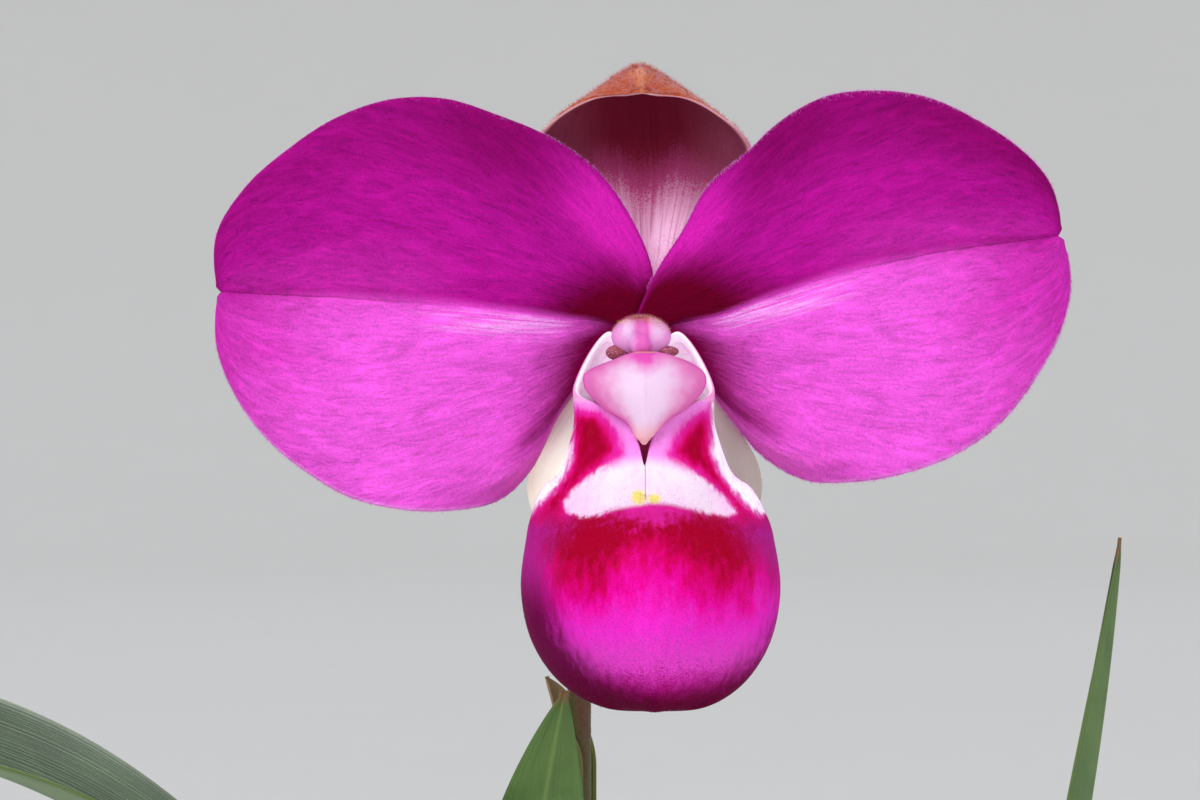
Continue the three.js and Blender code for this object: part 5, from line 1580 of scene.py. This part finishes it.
class BuildPot(bpy.types.Operator):
    """Builds the clay pot with its rim band and drainage holes"""
    bl_idname = "orchid.build_pot"
    bl_label = "Pot"

    def execute(self, context):
        look = context.scene.orchid_pot
        inner_base = POT_BASE_R - POT_WALL + 1
        profile = [(0.0, 0.0), (POT_BASE_R, 0.0), (POT_BODY_R, POT_HEIGHT - POT_RIM_BAND),
                   (POT_RIM_R - 2, POT_HEIGHT - POT_RIM_BAND), (POT_RIM_R, POT_HEIGHT),
                   (POT_RIM_R - POT_WALL, POT_HEIGHT), (inner_base, POT_FLOOR), (0.0, POT_FLOOR)]
        bm = bmesh.new()
        verts = [bm.verts.new((r * MM, 0.0, z * MM)) for r, z in profile]
        edges = [bm.edges.new(pair) for pair in zip(verts, verts[1:])]
        bmesh.ops.spin(bm, geom=verts + edges, cent=(0, 0, 0), axis=(0, 0, 1), angle=2 * math.pi, steps=144,
                       use_merge=True)
        bmesh.ops.remove_doubles(bm, verts=bm.verts, dist=1e-6)
        bmesh.ops.recalc_face_normals(bm, faces=bm.faces)
        sharp = [edge for edge in bm.edges if edge.calc_face_angle(0.0) > math.radians(30)]
        bmesh.ops.bevel(bm, geom=sharp, offset=look.bevel, offset_type="OFFSET", segments=3, profile=0.5,
                        affect="EDGES", material=-1, clamp_overlap=True)
        mesh = bpy.data.meshes.new("pot")
        bm.to_mesh(mesh)
        bm.free()
        made = piece("pot", mesh, "terracotta", [clay_finish(look)], "pot")
        drains = bmesh.new()
        for quarter in range(4):
            angle = (quarter + 0.5) * math.pi / 2
            drain = bmesh.ops.create_cone(drains, cap_ends=True, segments=32, radius1=DRAIN_R * MM,
                                          radius2=DRAIN_R * MM, depth=3 * POT_FLOOR * MM)
            for vert in drain["verts"]:
                vert.co += Vector((DRAIN_RING_R * MM * math.cos(angle), DRAIN_RING_R * MM * math.sin(angle),
                                   POT_FLOOR * MM / 2))
        cutter_mesh = bpy.data.meshes.new("drains")
        drains.to_mesh(cutter_mesh)
        drains.free()
        cutter = bpy.data.objects.new("drains", cutter_mesh)
        bpy.context.scene.collection.objects.link(cutter)
        cut = made.modifiers.new("drains", "BOOLEAN")
        cut.object = cutter
        cut.operation = "DIFFERENCE"
        bpy.context.view_layer.update()
        graph = bpy.context.evaluated_depsgraph_get()
        bored = bpy.data.meshes.new_from_object(made.evaluated_get(graph))
        made.modifiers.remove(cut)
        bpy.data.objects.remove(cutter)
        made.data = bored
        flat = np.zeros(len(bored.polygons), bool)
        normals = np.empty(len(bored.polygons) * 3)
        bored.polygons.foreach_get("normal", normals)
        flat[np.abs(normals.reshape(-1, 3)[:, 2]) > 0.999] = True
        bored.polygons.foreach_set("use_smooth", ~flat)
        return {"FINISHED"}


def scattered(number, reach, seed):
    """Places spread evenly over the top of the pot, clear of the fans."""
    random = np.random.default_rng(seed)
    found = []
    index = 0
    while len(found) < number:
        r = reach * math.sqrt(((index * GOLDEN_SHARE) % 1.0 + random.uniform(0, 0.02)) / 1.02)
        a = index * GOLDEN_ANGLE + random.uniform(0, 0.3)
        index += 1
        x, y = r * math.cos(a), r * math.sin(a)
        clear = True
        for (fx, fy), long, wide in FAN_ROOM:
            e = (x - fx) * math.cos(FAN_ANGLE) + (y - fy) * math.sin(FAN_ANGLE)
            n = -(x - fx) * math.sin(FAN_ANGLE) + (y - fy) * math.cos(FAN_ANGLE)
            if (e / (long + CHIP_ROOM)) ** 2 + (n / (wide + CHIP_ROOM)) ** 2 < 1:
                clear = False
        if clear:
            found.append((x, y))
    return np.array(found)


class BuildPottingMix(bpy.types.Operator):
    """Dresses the potting mix and lays loose bark and pumice on it"""
    bl_idname = "orchid.build_potting_mix"
    bl_label = "Potting mix"

    def execute(self, context):
        look = context.scene.orchid_pot
        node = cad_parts["potting_mix"]
        node.data.materials.clear()
        node.data.materials.append(bark_finish(look, "bark_bed"))

        def chip(bm):
            bmesh.ops.create_cube(bm, size=1.0)
            bmesh.ops.bevel(bm, geom=bm.edges[:], offset=0.14, offset_type="OFFSET", segments=1, profile=0.5,
                            affect="EDGES", material=-1, clamp_overlap=True)
            settle(bm)

        def grain(bm):
            bmesh.ops.create_icosphere(bm, subdivisions=1, radius=0.5)

        kinds = (("bark_chips", chip, look.chips, 101, (5.0, 13.0), (4.0, 8.0), (2.0, 4.5), 2.6,
                  bark_finish(look, "bark_chips")),
                 ("pumice_grains", grain, look.grains, 102, (2.5, 5.5), (2.5, 5.0), (2.0, 4.5), 4.4,
                  pumice_finish(look)))
        for name, build, number, seed, longs, wides, highs, lift, finish in kinds:
            random = np.random.default_rng(seed)
            mesh, which, local = many(build, number)
            mesh.name = name
            centres = scattered(number, CHIP_REACH, seed)
            points = np.empty_like(local)
            shade = np.empty(len(local))
            for index in range(number):
                rows = which == index
                tilt = random.normal(0, 0.35), random.normal(0, 0.35), random.uniform(0, 6.3)
                turn = Euler(tilt).to_matrix()
                scale = np.array([random.uniform(*longs), random.uniform(*wides), random.uniform(*highs)])
                skew = 1 + 0.22 * np.sin(local[rows] @ random.normal(0, 3, (3, 3)) + random.uniform(0, 6, 3))
                shape = local[rows] * scale * skew
                x, y = centres[index]
                height = MIX_TOP + lift + random.uniform(-1.5, 2.0)
                points[rows] = shape @ np.array(turn).T + [x, y, height]
                shade[rows] = random.random()
            put(mesh, points)
            mark(mesh, "shade", shade)
            made = piece(name, mesh, "bark_mix", [finish])
            made.data.polygons.foreach_set("use_smooth", np.zeros(len(made.data.polygons), bool))
        return {"FINISHED"}


class BuildStage(bpy.types.Operator):
    """Lays the pale floor and sets the soft lights and the camera"""
    bl_idname = "orchid.build_stage"
    bl_label = "Floor, lights and camera"

    def execute(self, context):
        look = context.scene.orchid_stage
        scene = context.scene
        bm = bmesh.new()
        wall = [(0.0, 0.0), (FLOOR_REACH, 0.0)]
        for a in np.linspace(0.1, math.pi / 2, 12):
            wall.append((FLOOR_REACH + FLOOR_BEND * math.sin(a), FLOOR_BEND - FLOOR_BEND * math.cos(a)))
        wall.append((FLOOR_REACH + FLOOR_BEND, WALL_HEIGHT))
        verts = [bm.verts.new((r, 0.0, z)) for r, z in wall]
        edges = [bm.edges.new(pair) for pair in zip(verts, verts[1:])]
        bmesh.ops.spin(bm, geom=verts + edges, cent=(0, 0, 0), axis=(0, 0, 1), angle=2 * math.pi, steps=96,
                       use_merge=True)
        bmesh.ops.remove_doubles(bm, verts=bm.verts, dist=1e-5)
        mesh = bpy.data.meshes.new("floor")
        bm.to_mesh(mesh)
        bm.free()
        mesh.polygons.foreach_set("use_smooth", np.ones(len(mesh.polygons), bool))
        floor = bpy.data.objects.new("floor", mesh)
        scene.collection.objects.link(floor)
        f = Finish("floor_paper")
        tone = f.noise(f.place(), 3.0, 3.0, 0.6)
        mesh.materials.append(f.done(f.shade(look.floor, (tone - 0.5) * 0.03 + 1.0), 0.9))

        world = bpy.data.worlds.new("surroundings")
        scene.world = world
        world.use_nodes = True
        sky = world.node_tree.nodes["Background"]
        sky.inputs["Color"].default_value = (*look.sky, 1.0)
        sky.inputs["Strength"].default_value = look.sky_strength
        middle = Vector((0.0, -0.03, 0.3))
        for name, power, reach, spot in (
                ("key_light", look.key, 0.9, (-0.75, -1.25, 1.25)),
                ("fill_light", look.fill, 1.2, (1.3, -1.1, 0.7)),
                ("back_light", look.back, 1.0, (0.3, 1.4, 1.3))):
            light = bpy.data.lights.new(name, "AREA")
            light.shape = "DISK"
            light.size = reach
            light.energy = power
            lamp = bpy.data.objects.new(name, light)
            scene.collection.objects.link(lamp)
            lamp.location = spot
            lamp.rotation_euler = (middle - Vector(spot)).to_track_quat("-Z", "Y").to_euler()

        camera = bpy.data.cameras.new("camera")
        camera.lens = look.lens
        camera.sensor_width = 36.0
        camera.clip_start = 0.01
        camera.clip_end = 200.0
        holder = bpy.data.objects.new("camera", camera)
        scene.collection.objects.link(holder)
        holder.location = Vector(VIEW * MM)
        holder.rotation_euler = (math.pi / 2, 0.0, 0.0)
        scene.camera = holder
        scene.view_settings.view_transform = "Standard"
        return {"FINISHED"}


OPERATORS = [BuildStage, BuildPot, BuildPottingMix, BuildLeaves, BuildStalk, BuildSepals, BuildPetals,
             BuildLip, BuildCentre]


class OrchidPanel(bpy.types.Panel):
    """Lists the pieces of the orchid"""
    bl_idname = "VIEW3D_PT_orchid"
    bl_label = "Potted orchid"
    bl_space_type = "VIEW_3D"
    bl_region_type = "UI"
    bl_category = "Orchid"

    def draw(self, context):
        for operator in OPERATORS:
            self.layout.operator(operator.bl_idname)


def register():
    """Makes the settings, the operators and the panel known."""
    for settings in SETTINGS.values():
        bpy.utils.register_class(settings)
    for name, settings in SETTINGS.items():
        setattr(bpy.types.Scene, name, PointerProperty(type=settings))
    for operator in OPERATORS:
        bpy.utils.register_class(operator)
    bpy.utils.register_class(OrchidPanel)


def unregister():
    """Takes them away again."""
    bpy.utils.unregister_class(OrchidPanel)
    for operator in reversed(OPERATORS):
        bpy.utils.unregister_class(operator)
    for name in SETTINGS:
        delattr(bpy.types.Scene, name)
    for settings in reversed(list(SETTINGS.values())):
        bpy.utils.unregister_class(settings)


def main():
    """Builds the plant on its stage."""
    register()
    bpy.ops.orchid.build_stage()
    bpy.ops.orchid.build_pot()
    bpy.ops.orchid.build_potting_mix()
    bpy.ops.orchid.build_leaves()
    bpy.ops.orchid.build_stalk()
    bpy.ops.orchid.build_sepals()
    bpy.ops.orchid.build_petals()
    bpy.ops.orchid.build_lip()
    bpy.ops.orchid.build_centre()


if __name__ == "__main__":
    main()
